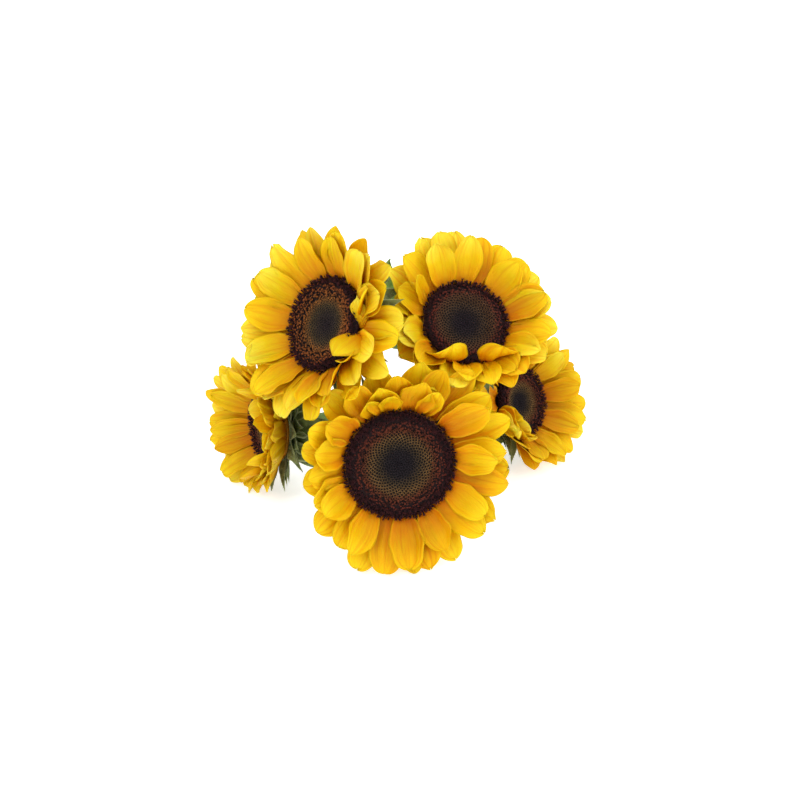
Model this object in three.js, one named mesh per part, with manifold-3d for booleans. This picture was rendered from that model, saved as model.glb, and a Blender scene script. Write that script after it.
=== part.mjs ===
// A branching sunflower stem, cut and laid on a table, with its open flower heads looking forward and up.
// Each head is a ring of petals, a dark disc and a green calyx on its own stalk. The stalks leave one main
// stem, which also bears the leaves.
// Millimetres and degrees. +Z is up, -Y is the side that the heads look to, and +X is on a viewer's right.
import * as THREE from "three";
import { mergeVertices } from "three/addons/utils/BufferGeometryUtils.js";
import Module from "manifold-3d";

const wasm = await Module();
wasm.setup();

// The heads are laid out as someone sees them who looks down at the bunch from this far above the table:
// across to the right, up, and toward the viewer, all from one middle point above the table.
const VIEW_ELEVATION = 30;
const VIEW_MIDDLE = new THREE.Vector3(0, -121, 94.9);
const BOX_MIDDLE = new THREE.Vector3(2.2, 1.9, 0);
const CLEARANCE = 0.3;
const SHORTEST_EDGE = 0.3;

const PETAL = new THREE.MeshStandardMaterial({ color: 0xf5b70a, roughness: 0.55, metalness: 0 });
const FLORET = new THREE.MeshStandardMaterial({ color: 0x35191a, roughness: 0.9, metalness: 0 });
const CALYX_GREEN = new THREE.MeshStandardMaterial({ color: 0x4d6b33, roughness: 0.75, metalness: 0 });
const STEM_GREEN = new THREE.MeshStandardMaterial({ color: 0x6b8a43, roughness: 0.7, metalness: 0 });
const LEAF_GREEN = new THREE.MeshStandardMaterial({ color: 0x3f6b2c, roughness: 0.7, metalness: 0 });

// One row for each head. turn is to the viewer's right and lift is upward from facing the viewer. disc is a
// radius, petal and width are a petal's length and width, and node is where the stalk leaves the main stem.
// crowding lists where a neighbour presses on the petals: they rise and bend by so much at that azimuth,
// less and less over the spread. curled petals are the ones that stand up, roll or fold over the disc.
const HEADS = [
  {
    name: "front",
    across: -0.3, up: -38.6, toward: 0, turn: 6, lift: -12,
    disc: 32.5, petal: 35.5, width: 19.5, petals: 13, cup: 25, seed: 11, node: 1, bracts: 1,
    crowding: [
      { azimuth: 118, spread: 26, rise: 14, bend: 8, shorter: 0.16 },
      { azimuth: 65, spread: 24, rise: 10, bend: 4, shorter: 0.06 },
      { azimuth: 190, spread: 45, rise: 4, bend: 0, shorter: 0.18 },
      { azimuth: 270, spread: 50, rise: 0, bend: 0, shorter: -0.06 },
    ],
    curled: [
      { azimuth: 112, length: 25, width: 15, rise: 62, bend: 74, sway: 0, twist: 6, fold: 34 },
      { azimuth: 96, length: 27, width: 15, rise: 58, bend: 64, sway: 4, twist: -6, fold: 36 },
      { azimuth: 68, length: 29, width: 15, rise: 54, bend: 42, sway: -4, twist: 8, fold: 34 },
    ],
  },
  {
    name: "upper_left",
    across: -44.9, up: 45.4, toward: 0, turn: -41, lift: 8,
    disc: 28.1, petal: 34, width: 18.5, petals: 13, cup: 27, seed: 23, node: 0.34, bracts: 1,
    crowding: [
      { azimuth: 350, spread: 40, rise: -14, bend: -10, shorter: 0 },
      { azimuth: 300, spread: 26, rise: 12, bend: -8, shorter: 0.18 },
      { azimuth: 180, spread: 60, rise: 0, bend: 0, shorter: -0.09 },
    ],
    curled: [
      { azimuth: 330, length: 25, width: 13, rise: 58, bend: 80, sway: 18, twist: 30, fold: 50 },
      { azimuth: 350, length: 29, width: 14, rise: 60, bend: -20, sway: -12, twist: 50, fold: 60 },
      { azimuth: 8, length: 30, width: 14, rise: 52, bend: -60, sway: 14, twist: -45, fold: 55 },
      { azimuth: 306, length: 32, width: 13, rise: 58, bend: -50, sway: -6, twist: 30, fold: 50 },
    ],
  },
  {
    name: "upper_right",
    across: 39.5, up: 46.7, toward: -10, turn: 12, lift: 18,
    disc: 25.8, petal: 32, width: 18.5, petals: 12, cup: 25, seed: 37, node: 0.53, bracts: 1,
    crowding: [
      { azimuth: 188, spread: 40, rise: 4, bend: -14, shorter: 0.32 },
      { azimuth: 280, spread: 48, rise: 34, bend: -40, shorter: 0.18 },
    ],
    curled: [
      { azimuth: 150, length: 24, width: 13, rise: 60, bend: 70, sway: 8, twist: 10, fold: 36 },
      { azimuth: 246, length: 20, width: 14, rise: 62, bend: 30, sway: 24, twist: 40, fold: 55 },
      { azimuth: 276, length: 21, width: 14, rise: 62, bend: -70, sway: -16, twist: -40, fold: 55 },
      { azimuth: 300, length: 22, width: 15, rise: 60, bend: -60, sway: 14, twist: 36, fold: 50 },
    ],
  },
  {
    name: "far_left",
    across: -87.8, up: -17.9, toward: -64.6, turn: -61, lift: -6,
    disc: 22.6, petal: 38, width: 16.5, petals: 11, cup: 36, seed: 53, node: 0.78, bracts: 1.3,
    crowding: [
      { azimuth: 60, spread: 40, rise: 0, bend: -10, shorter: 0.28 },
      { azimuth: 270, spread: 45, rise: 0, bend: 0, shorter: 0.24 },
    ],
    curled: [
      { azimuth: 352, length: 26, width: 14, rise: 60, bend: 56, sway: 6, twist: 14, fold: 40 },
      { azimuth: 318, length: 27, width: 14, rise: 56, bend: 44, sway: -8, twist: -12, fold: 40 },
    ],
  },
  {
    name: "far_right",
    across: 83.1, up: -1.6, toward: -100.1, turn: 43, lift: 3,
    disc: 23.4, petal: 36, width: 17.2, petals: 11, cup: 32, seed: 71, node: 0.7, bracts: 1.2,
    crowding: [
      { azimuth: 110, spread: 45, rise: -4, bend: -10, shorter: 0.36 },
      { azimuth: 270, spread: 40, rise: 0, bend: 0, shorter: 0.14 },
      { azimuth: 180, spread: 40, rise: 14, bend: 10, shorter: 0.16 },
    ],
    curled: [
      { azimuth: 176, length: 26, width: 14, rise: 60, bend: 50, sway: 6, twist: 16, fold: 42 },
      { azimuth: 200, length: 27, width: 14, rise: 58, bend: 50, sway: -6, twist: -20, fold: 42 },
    ],
  },
];

// The main stem lies on the table from its flat cut to the fork at its tip, in the ground's own axes.
const STEM = {
  points: [
    [56, 171, 8.3],
    [44, 128, 8.6],
    [28, 66, 10.4],
    [9, 8, 15.5],
  ],
  cutRadius: 8.2,
  tipRadius: 6.2,
};
const STALK = { forkRadius: 4.6, neckRadius: 4.6, reach: 0.36, alongStem: 0.4, lift: 0.3 };

// One row for each leaf: the limb it grows on and how far along, then the knee and the tip of its midrib,
// in the ground's axes. side points across the blade, and petiole is the bare part of the midrib.
const LEAVES = [
  {
    name: "leaf_left", on: "main_stem", at: 0.14,
    knee: [-14, 152, 52], tip: [-96, 150, 6], side: [0.1, 1, 0.1], petiole: 0.42, width: 56,
  },
  {
    name: "leaf_right", on: "main_stem", at: 0.28,
    knee: [84, 128, 50], tip: [122, 88, 6], side: [-0.5, -1, 0.1], petiole: 0.34, width: 50,
  },
  {
    name: "leaf_upright", on: "upper_left", at: 0.6,
    knee: [-14, -6, 118], tip: [-5.9, -22.2, 148], side: [1, -0.2, 0], petiole: 0.3, width: 24,
  },
  {
    name: "leaf_front", on: "front", at: 0.5,
    knee: [14, -50, 86], tip: [45, -67, 80], side: [0.2, -0.5, 0.9], petiole: 0.24, width: 26,
  },
];
const LEAF = { petioleRadius: 2.2, tipRadius: 0.7, thickness: 1.2, tipThickness: 0.8, fold: 16 };

// Heights along a head's own axis, from the plane of the disc's rim. Plus is the way the head faces.
const DISC = { foot: -6.3, ledge: -0.9, crest: 3.2 };
const RING = { inside: -2.9, outside: 2.1, chamfer: 0.8, foot: -6.3, top: -1.3 };
const CALYX = { top: -6.6, overhang: 1.4, neck: -24, neckRadius: 5.4 };

// The two rows of petals, lower and upper, and how much one petal differs from the next.
const PETAL_ROWS = [
  { phase: 0, length: 1, rise: 2, bend: -14, rootHeight: -4.8 },
  { phase: 0.5, length: 0.94, rise: 9, bend: -8, rootHeight: -3.7 },
];
const PETAL_SPREAD = { azimuth: 0.36, length: 0.14, width: 0.18, rise: 7, bend: 16, sway: 16, twist: 26 };
const PETAL_FOLD = { least: 18, more: 16 };
const PETAL_POINT = { least: 0.5, more: 0.5, curled: 0.6 };
const PETAL_ROOT = 1;
const PETAL_THICKNESS = [0.9, 0.45];

// The two rows of bracts. radius and length are shares of the disc's radius.
const BRACT_ROWS = [
  { phase: 0, length: 0.8, rise: -34, radius: 0.72, rootHeight: -11.7 },
  { phase: 0.5, length: 0.9, rise: -22, radius: 0.84, rootHeight: -9.5 },
];
const BRACT_SPREAD = { azimuth: 0.3, length: 0.2, width: 0.16, rise: 8, sway: 24, twist: 20 };
const BRACT = {
  perRow: 8, width: 11, fold: 26, bendMost: 4, bendRange: 22, lowest: -24, pressed: 0.8, seedShift: 500,
};
const BRACT_THICKNESS = [1.0, 0.4];

// Parts of a blade's length, in twentieths, where it gets a cross-section.
const BLADE_STEPS = 20;
const PETAL_STATIONS = [0, 8, 15, 20];
const BRACT_STATIONS = [0, 8, 20];
const LEAF_STATIONS = [0, 2, 5, 10, 15, 20];
const FOLD_LOST = 0.4;

// Sides and segments of the round pieces.
const DISC_SEGMENTS = 24;
const CUP_SEGMENTS = 16;
const STEM_SIDES = 12;
const STEM_SEGMENTS = 10;
const STALK_SIDES = 9;
const STALK_SEGMENTS = 12;
const PETIOLE_SIDES = 6;
const PETIOLE_SEGMENTS = 9;

const radians = THREE.MathUtils.degToRad;

/** A repeatable stream of numbers from 0 to 1. */
function seeded(seed) {
  let state = seed >>> 0;
  return () => {
    state = (Math.imul(state, 1664525) + 1013904223) >>> 0;
    return state / 4294967296;
  };
}

/** A direction or a shift in the layout's axes, turned into the ground's. */
function fromLayout(across, up, toward) {
  const cos = Math.cos(radians(VIEW_ELEVATION));
  const sin = Math.sin(radians(VIEW_ELEVATION));
  return new THREE.Vector3(across, up * sin - toward * cos, up * cos + toward * sin);
}

/** The place and turn of a head: its z axis is the way it faces, and its y axis is up for the viewer. */
function headFrame(head) {
  const lift = radians(head.lift);
  const turn = radians(head.turn);
  const level = Math.cos(lift);
  const facing = fromLayout(Math.sin(turn) * level, Math.sin(lift), Math.cos(turn) * level);
  const right = new THREE.Vector3().crossVectors(fromLayout(0, 1, 0), facing).normalize();
  const upward = new THREE.Vector3().crossVectors(facing, right);
  const middle = fromLayout(head.across, head.up, head.toward).add(VIEW_MIDDLE);
  return new THREE.Matrix4().makeBasis(right, upward, facing).setPosition(middle);
}

/** The share of its full width that a leaf has: heart-shaped at the foot and pointed at the tip. */
function leafWidth(s) {
  const WIDEST = 0.26;
  if (s < WIDEST) return 0.3 + 0.7 * Math.sin((Math.PI / 2) * (s / WIDEST));
  return Math.max(0.05, (1 - ((s - WIDEST) / (1 - WIDEST)) ** 1.5) ** 0.9);
}

/** A closed skin over a row of rings with the same number of points, each anticlockwise about the way on. */
function skin(rings) {
  const size = rings[0].length;
  const positions = rings.flat().flatMap((point) => point.toArray());
  const faces = [];
  for (let row = 0; row + 1 < rings.length; row += 1) {
    for (let i = 0; i < size; i += 1) {
      const here = row * size + i;
      const next = row * size + ((i + 1) % size);
      faces.push(here, next, next + size, here, next + size, here + size);
    }
  }
  const last = (rings.length - 1) * size;
  for (let i = 1; i + 1 < size; i += 1) {
    faces.push(0, i + 1, i, last, last + i, last + i + 1);
  }
  const geometry = new THREE.BufferGeometry();
  geometry.setAttribute("position", new THREE.Float32BufferAttribute(positions, 3));
  geometry.setIndex(faces);
  return geometry;
}

/** The solid inside a closed geometry. */
function solidOf(geometry) {
  const bare = geometry.clone();
  bare.deleteAttribute("normal");
  bare.deleteAttribute("uv");
  const merged = mergeVertices(bare, 1e-4);
  const faces = [];
  const index = merged.index.array;
  for (let i = 0; i < index.length; i += 3) {
    const [a, b, c] = index.slice(i, i + 3);
    if (a !== b && b !== c && c !== a) faces.push(a, b, c);
  }
  return new wasm.Manifold(
    new wasm.Mesh({
      numProp: 3,
      vertProperties: new Float32Array(merged.attributes.position.array),
      triVerts: new Uint32Array(faces),
    }),
  );
}

/** One solid from several that touch, with any small pocket between them filled and no very short edges. */
function fused(solids) {
  const bodies = solids.reduce((whole, piece) => whole.add(piece)).decompose();
  const whole = bodies.reduce((largest, body) => (body.volume() > largest.volume() ? body : largest));
  return whole.asOriginal().simplify(SHORTEST_EDGE);
}

/** A named mesh of a solid. */
function meshOf(name, solid, material) {
  const made = solid.getMesh();
  const geometry = new THREE.BufferGeometry();
  geometry.setAttribute("position", new THREE.BufferAttribute(new Float32Array(made.vertProperties), 3));
  geometry.setIndex(new THREE.BufferAttribute(new Uint32Array(made.triVerts), 1));
  const mesh = new THREE.Mesh(geometry, material);
  mesh.name = name;
  return mesh;
}

/** A profile of [radius, height] pairs, turned about the z axis. It runs from the foot to the top. */
function turned(profile, segments) {
  const points = profile.map(([radius, height]) => new THREE.Vector2(radius, height));
  return new THREE.LatheGeometry(points, segments).rotateX(Math.PI / 2);
}

/** The share of its full width that a petal has, s of the way along it. point is low for a round tip. */
function petalWidth(s, point) {
  const WIDEST = 0.55;
  const CLAW = 0.5;
  if (s < WIDEST) return CLAW + (1 - CLAW) * Math.sin((Math.PI / 2) * (s / WIDEST));
  return Math.max(0.07, (1 - ((s - WIDEST) / (1 - WIDEST)) ** 2.2) ** point);
}

/** The share of its full width that a bract has: broad low down, then drawn out to a fine tip. */
function bractWidth(s) {
  const WIDEST = 0.3;
  if (s < WIDEST) return 0.75 + 0.25 * (s / WIDEST);
  return Math.max(0.05, (1 - (s - WIDEST) / (1 - WIDEST)) ** 1.15);
}

/** A repeatable draw between minus half and plus half of a range. */
function around(random, range) {
  return range * (random() - 0.5);
}

/**
 * A thin blade that leaves its root outward at `rise` degrees above the disc's plane. On its way it bends up
 * by `bend`, sways sideways, and twists, and its cross-section is an arc of `fold` degrees on each side.
 * thickness holds the blade's thickness at its root and at its tip.
 */
function blade(root, shape, stations, widthAt, thickness) {
  const azimuth = radians(shape.azimuth);
  const outward = new THREE.Vector3(Math.cos(azimuth), Math.sin(azimuth), 0);
  const sideways = new THREE.Vector3(-Math.sin(azimuth), Math.cos(azimuth), 0);
  const axisUp = new THREE.Vector3(0, 0, 1);
  const directionsAt = (s) => {
    const slope = radians(shape.rise + shape.bend * s);
    const yaw = radians(shape.sway * s);
    const heading = outward.clone().multiplyScalar(Math.cos(yaw)).addScaledVector(sideways, Math.sin(yaw));
    heading.multiplyScalar(Math.cos(slope)).addScaledVector(axisUp, Math.sin(slope));
    const side = sideways.clone().multiplyScalar(Math.cos(yaw)).addScaledVector(outward, -Math.sin(yaw));
    return { heading, side };
  };
  const rings = [];
  const point = root.clone();
  for (let step = 0; step <= BLADE_STEPS; step += 1) {
    const s = step / BLADE_STEPS;
    if (stations.includes(step)) {
      const { heading, side } = directionsAt(s);
      const normal = new THREE.Vector3().crossVectors(heading, side);
      const roll = radians(shape.twist * s);
      const across = side.clone().multiplyScalar(Math.cos(roll)).addScaledVector(normal, Math.sin(roll));
      const face = normal.multiplyScalar(Math.cos(roll)).addScaledVector(side, -Math.sin(roll));
      const arc = radians(shape.fold * (1 - FOLD_LOST * s));
      const half = (shape.width / 2) * widthAt(s);
      const reach = (half * Math.sin(arc)) / arc;
      const edgeLift = (half * (1 - Math.cos(arc))) / arc;
      const depth = THREE.MathUtils.lerp(thickness[0], thickness[1], s) / 2;
      rings.push([
        point.clone().addScaledVector(face, -depth),
        point.clone().addScaledVector(across, reach).addScaledVector(face, edgeLift),
        point.clone().addScaledVector(face, depth),
        point.clone().addScaledVector(across, -reach).addScaledVector(face, edgeLift),
      ]);
    }
    const { heading } = directionsAt(s + 0.5 / BLADE_STEPS);
    point.addScaledVector(heading, shape.length / BLADE_STEPS);
  }
  return skin(rings);
}

/** How far a head's neighbours raise, bend and shorten a petal at one azimuth. */
function crowdingAt(head, azimuth) {
  const pressed = { rise: 0, bend: 0, shorter: 0 };
  for (const push of head.crowding) {
    const apart = ((((azimuth - push.azimuth) % 360) + 540) % 360) - 180;
    const weight = Math.exp(-((apart / push.spread) ** 2));
    pressed.rise += weight * push.rise;
    pressed.bend += weight * push.bend;
    pressed.shorter += weight * push.shorter;
  }
  return pressed;
}

/** The shapes of a head's petals: a lower row, an upper row between them, and the curled ones. */
function petalShapes(head) {
  const random = seeded(head.seed);
  const shapes = [];
  for (const row of PETAL_ROWS) {
    for (let i = 0; i < head.petals; i += 1) {
      const azimuth = (360 / head.petals) * (i + row.phase + around(random, PETAL_SPREAD.azimuth));
      const pressed = crowdingAt(head, azimuth);
      const length = head.petal * (row.length + around(random, PETAL_SPREAD.length));
      shapes.push({
        azimuth,
        rootHeight: row.rootHeight,
        length: length * (1 - pressed.shorter),
        width: head.width * (1 + around(random, PETAL_SPREAD.width)),
        rise: head.cup + row.rise + around(random, PETAL_SPREAD.rise) + pressed.rise,
        bend: row.bend + around(random, PETAL_SPREAD.bend) + pressed.bend,
        sway: around(random, PETAL_SPREAD.sway),
        twist: around(random, PETAL_SPREAD.twist),
        fold: PETAL_FOLD.least + PETAL_FOLD.more * random(),
        point: PETAL_POINT.least + PETAL_POINT.more * random(),
      });
    }
  }
  for (const petal of head.curled) {
    shapes.push({ rootHeight: PETAL_ROWS[1].rootHeight, point: PETAL_POINT.curled, ...petal });
  }
  return shapes;
}

/** The ring that sits under the disc's rim, with every petal's root sunk in it. */
function petalsSolid(head) {
  const inside = head.disc + RING.inside;
  const outside = head.disc + RING.outside;
  const ring = turned(
    [
      [inside, RING.foot],
      [outside - RING.chamfer, RING.foot],
      [outside, RING.top],
      [inside, RING.top],
      [inside, RING.foot],
    ],
    DISC_SEGMENTS,
  );
  const petals = petalShapes(head).map((shape) => {
    const root = new THREE.Vector3(head.disc + PETAL_ROOT, 0, shape.rootHeight);
    root.applyAxisAngle(new THREE.Vector3(0, 0, 1), radians(shape.azimuth));
    const widthAt = (s) => petalWidth(s, shape.point);
    return solidOf(blade(root, shape, PETAL_STATIONS, widthAt, PETAL_THICKNESS));
  });
  return fused([solidOf(ring), ...petals]);
}

/** The dark disc: a raised rim of open florets round a dished middle of buds. */
function discSolid(head) {
  const r = head.disc;
  const footRadius = r + RING.inside - CLEARANCE;
  return solidOf(
    turned(
      [
        [0, DISC.foot],
        [footRadius, DISC.foot],
        [footRadius, DISC.ledge],
        [r, DISC.ledge],
        [r - 0.4, DISC.crest - 1.4],
        [r * 0.9, DISC.crest],
        [r * 0.72, DISC.crest - 0.6],
        [r * 0.5, DISC.crest - 2.8],
        [0, DISC.crest - 5.6],
      ],
      DISC_SEGMENTS,
    ),
  );
}

/** The green cup behind the petals, drawn in to the stalk's neck, with two rows of pointed bracts. */
function calyxSolid(head) {
  const r = head.disc;
  const cup = turned(
    [
      [0, CALYX.neck],
      [CALYX.neckRadius, CALYX.neck],
      [CALYX.neckRadius * 1.25, CALYX.neck + 4],
      [r * 0.5, CALYX.neck + 9.5],
      [r * 0.86, CALYX.top - 4.4],
      [r + CALYX.overhang, CALYX.top],
      [0, CALYX.top],
    ],
    CUP_SEGMENTS,
  );
  const random = seeded(head.seed + BRACT.seedShift);
  const bracts = [];
  for (const row of BRACT_ROWS) {
    for (let i = 0; i < BRACT.perRow; i += 1) {
      const azimuth = (360 / BRACT.perRow) * (i + row.phase + around(random, BRACT_SPREAD.azimuth));
      const pressed = crowdingAt(head, azimuth);
      const length = r * head.bracts * (row.length + around(random, BRACT_SPREAD.length));
      const width = BRACT.width * (1 + around(random, BRACT_SPREAD.width));
      const rise = head.cup + row.rise + around(random, BRACT_SPREAD.rise) + BRACT.pressed * pressed.rise;
      const shape = {
        azimuth,
        length,
        width,
        rise: Math.max(BRACT.lowest, rise),
        bend: BRACT.bendMost - BRACT.bendRange * random() + Math.min(0, pressed.bend),
        sway: around(random, BRACT_SPREAD.sway),
        twist: around(random, BRACT_SPREAD.twist),
        fold: BRACT.fold,
      };
      const root = new THREE.Vector3(r * row.radius, 0, row.rootHeight);
      root.applyAxisAngle(new THREE.Vector3(0, 0, 1), radians(azimuth));
      bracts.push(solidOf(blade(root, shape, BRACT_STATIONS, bractWidth, BRACT_THICKNESS)));
    }
  }
  return fused([solidOf(cup), ...bracts]);
}

/** A round limb along a curve. radiusAt gives its radius from 0 at the start to 1 at the end. */
function limb(curve, radiusAt, sides, segments) {
  const frames = curve.computeFrenetFrames(segments, false);
  const rings = [];
  for (let row = 0; row <= segments; row += 1) {
    const middle = curve.getPointAt(row / segments);
    const ring = [];
    for (let i = 0; i < sides; i += 1) {
      const angle = (2 * Math.PI * i) / sides;
      const spoke = frames.normals[row].clone().multiplyScalar(Math.cos(angle));
      spoke.addScaledVector(frames.binormals[row], Math.sin(angle));
      ring.push(middle.clone().addScaledVector(spoke, radiusAt(row / segments)));
    }
    rings.push(ring);
  }
  return skin(rings);
}

const stemCurve = new THREE.CatmullRomCurve3(STEM.points.map((point) => new THREE.Vector3(...point)));
const stemRadius = (extra) => (t) => THREE.MathUtils.lerp(STEM.cutRadius, STEM.tipRadius, t) + extra;

/** The limb of a head's stalk, from the middle of the main stem to just short of the head's neck. */
function stalkLimb(head) {
  const frame = headFrame(head);
  const facing = new THREE.Vector3().setFromMatrixColumn(frame, 2);
  const neck = new THREE.Vector3(0, 0, CALYX.neck - CLEARANCE).applyMatrix4(frame);
  const heading = stemCurve.getTangentAt(head.node);
  const start = stemCurve.getPointAt(head.node);
  const isTip = head.node === 1;
  if (isTip) start.addScaledVector(heading, CLEARANCE);
  const reach = start.distanceTo(neck) * STALK.reach;
  const away = neck.clone().sub(start).normalize();
  const leaving = isTip ? heading.clone() : heading.clone().multiplyScalar(STALK.alongStem).add(away);
  if (!isTip) leaving.z += STALK.lift;
  leaving.normalize();
  const curve = new THREE.CubicBezierCurve3(
    start,
    start.clone().addScaledVector(leaving, reach),
    neck.clone().addScaledVector(facing, -reach),
    neck,
  );
  const foot = isTip ? STEM.tipRadius : STALK.forkRadius;
  const radiusAt = (t) => THREE.MathUtils.lerp(foot, STALK.neckRadius, Math.min(1, t * 1.6));
  return { curve, radiusAt, isTip };
}

/** The stalk of a head. All but the one at the stem's tip stop 0.3 mm short of the stem's side. */
function stalkSolid(head) {
  const { curve, radiusAt, isTip } = stalkLimb(head);
  const whole = solidOf(limb(curve, radiusAt, STALK_SIDES, STALK_SEGMENTS));
  if (isTip) return whole;
  return whole.subtract(solidOf(limb(stemCurve, stemRadius(CLEARANCE), STEM_SIDES, STEM_SEGMENTS)));
}

/** A leaf with its petiole and midrib, which starts 0.3 mm off the limb that it grows on. */
function leafSolid(leaf) {
  const host = leaf.on === "main_stem"
    ? { curve: stemCurve, radiusAt: stemRadius(0), sides: STEM_SIDES, segments: STEM_SEGMENTS }
    : {
        ...stalkLimb(HEADS.find((head) => head.name === leaf.on)),
        sides: STALK_SIDES,
        segments: STALK_SEGMENTS,
      };
  const midrib = new THREE.QuadraticBezierCurve3(
    host.curve.getPointAt(leaf.at),
    new THREE.Vector3(...leaf.knee),
    new THREE.Vector3(...leaf.tip),
  );
  const ribRadius = (t) => THREE.MathUtils.lerp(LEAF.petioleRadius, LEAF.tipRadius, t);
  const fold = radians(LEAF.fold);
  const rings = LEAF_STATIONS.map((step) => {
    const s = step / BLADE_STEPS;
    const t = leaf.petiole + (1 - leaf.petiole) * s;
    const point = midrib.getPointAt(t);
    const heading = midrib.getTangentAt(t);
    const across = new THREE.Vector3(...leaf.side);
    across.addScaledVector(heading, -across.dot(heading)).normalize();
    const face = new THREE.Vector3().crossVectors(heading, across);
    const half = (leaf.width / 2) * leafWidth(s);
    const depth = THREE.MathUtils.lerp(LEAF.thickness, LEAF.tipThickness, s) / 2;
    const raised = point.clone().addScaledVector(face, half * Math.sin(fold));
    const edge = (side) => raised.clone().addScaledVector(across, side * half * Math.cos(fold));
    return [
      point.clone().addScaledVector(face, -depth),
      edge(1),
      point.clone().addScaledVector(face, depth),
      edge(-1),
    ];
  });
  const rib = limb(midrib, ribRadius, PETIOLE_SIDES, PETIOLE_SEGMENTS);
  const grown = limb(host.curve, (t) => host.radiusAt(t) + CLEARANCE, host.sides, host.segments);
  return fused([solidOf(rib), solidOf(skin(rings))]).subtract(solidOf(grown));
}

const plant = new THREE.Group();
const stem = limb(stemCurve, stemRadius(0), STEM_SIDES, STEM_SEGMENTS);
plant.add(meshOf("main_stem", solidOf(stem), STEM_GREEN));
for (const head of HEADS) {
  const flower = new THREE.Group();
  flower.add(meshOf(`${head.name}_petals`, petalsSolid(head), PETAL));
  flower.add(meshOf(`${head.name}_disc`, discSolid(head), FLORET));
  flower.add(meshOf(`${head.name}_calyx`, calyxSolid(head), CALYX_GREEN));
  flower.applyMatrix4(headFrame(head));
  plant.add(flower);
  plant.add(meshOf(`${head.name}_stalk`, stalkSolid(head), STEM_GREEN));
}
for (const leaf of LEAVES) {
  plant.add(meshOf(leaf.name, leafSolid(leaf), LEAF_GREEN));
}
plant.position.copy(BOX_MIDDLE).negate();

export default plant;
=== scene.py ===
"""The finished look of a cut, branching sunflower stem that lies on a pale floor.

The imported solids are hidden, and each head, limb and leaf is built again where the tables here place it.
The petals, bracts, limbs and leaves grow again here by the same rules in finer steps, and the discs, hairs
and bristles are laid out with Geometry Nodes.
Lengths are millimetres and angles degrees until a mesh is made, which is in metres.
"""

from __future__ import annotations

import logging
import math
from dataclasses import dataclass, field, replace
from enum import Enum
from typing import Callable, Iterator, Sequence

import bpy
import numpy as np
from mathutils import Matrix, Vector

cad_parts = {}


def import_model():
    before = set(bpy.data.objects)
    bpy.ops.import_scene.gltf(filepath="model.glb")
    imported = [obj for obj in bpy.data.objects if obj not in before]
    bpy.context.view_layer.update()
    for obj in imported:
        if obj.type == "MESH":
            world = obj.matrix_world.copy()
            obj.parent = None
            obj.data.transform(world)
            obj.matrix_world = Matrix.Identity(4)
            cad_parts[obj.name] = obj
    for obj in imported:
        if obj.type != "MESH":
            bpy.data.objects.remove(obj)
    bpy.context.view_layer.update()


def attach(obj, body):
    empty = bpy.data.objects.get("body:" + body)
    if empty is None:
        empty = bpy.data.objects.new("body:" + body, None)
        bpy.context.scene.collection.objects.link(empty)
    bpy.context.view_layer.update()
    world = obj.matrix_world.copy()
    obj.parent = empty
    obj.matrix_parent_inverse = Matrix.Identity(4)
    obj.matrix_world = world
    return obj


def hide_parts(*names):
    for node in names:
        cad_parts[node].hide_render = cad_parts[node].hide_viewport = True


LOG = logging.getLogger("sunflowers")
METRES = 0.001
GOLDEN_ANGLE = math.pi * (3 - math.sqrt(5))
FULL_TURN = 2 * math.pi
CLEARANCE = 0.3
FINE_STEPS = 80

Array = np.ndarray
Pair = tuple[float, float]
Triple = tuple[float, float, float]
Colour = Triple
Stops = tuple[tuple[float, Colour], ...]
Poles = tuple[Array | None, Array | None]
Socket = bpy.types.NodeSocket
Tree = bpy.types.NodeTree
Material = bpy.types.Material
Mesh = bpy.types.Mesh
Object = bpy.types.Object


class Slot(Enum):
    """The record's material slots that a piece can take its finish from."""

    PETAL = "petal"
    FLORET = "floret"
    CALYX = "calyx"
    STEM = "stem"
    LEAF = "leaf"


class Bloom(Enum):
    """How a head's disc has opened, which gives its florets their belts and colours."""

    GOLDEN = "golden"
    DUSKY = "dusky"
    COPPER = "copper"


BELTS = {Bloom.GOLDEN: (0.62, 0.82), Bloom.DUSKY: (0.72, 0.86), Bloom.COPPER: (0.53, 0.84)}


class FloretShape(Enum):
    """The few shapes that florets and hairs are repeated from."""

    BUD = "closed_bud"
    OPEN = "open_floret"
    SPIKY = "spiky_floret"
    HAIR = "hair"


def unit(vector: Array) -> Array:
    """Gives a vector, or each row of several, its length of one."""
    return vector / np.linalg.norm(vector, axis=-1, keepdims=True)


def spokes(count: int) -> Array:
    """Gives the angles of so many even steps round a turn."""
    return FULL_TURN * np.arange(count) / count


def compass(turn: float) -> tuple[Array, Array]:
    """Gives the directions outward and sideways at so many radians round the z axis."""
    cos, sin = math.cos(turn), math.sin(turn)
    return np.array([cos, sin, 0]), np.array([-sin, cos, 0])


def placed(points: Array, place: Matrix) -> Array:
    """Moves points from a head's own axes into the ground's."""
    turn = np.array(place)[:3, :3]
    return points @ turn.T + np.array(place)[:3, 3]


def rested(points: Array, soft: float = 0.3) -> Array:
    """Bends what would sink into the floor up to just over it, over a soft step of so many millimetres."""
    low = soft * np.exp(np.minimum(0.0, points[:, 2] - soft) / soft)
    return np.column_stack([points[:, :2], np.where(points[:, 2] < soft, low, points[:, 2])])


def linear(colour: Colour) -> tuple[float, float, float, float]:
    """Turns a colour as a screen shows it into the linear one, with its alpha, that shaders take."""
    shares = [channel / 255 for channel in colour]
    return (*(c / 12.92 if c <= 0.04045 else ((c + 0.055) / 1.055) ** 2.4 for c in shares), 1.0)


def linked(name: str, data: bpy.types.ID) -> Object:
    """Puts a mesh, lamp or camera into the scene.

    Args:
        name: The new object's name.
        data: The mesh, lamp or camera.

    Returns:
        The object.
    """
    made = bpy.data.objects.new(name, data)
    bpy.context.scene.collection.objects.link(made)
    return made


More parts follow.
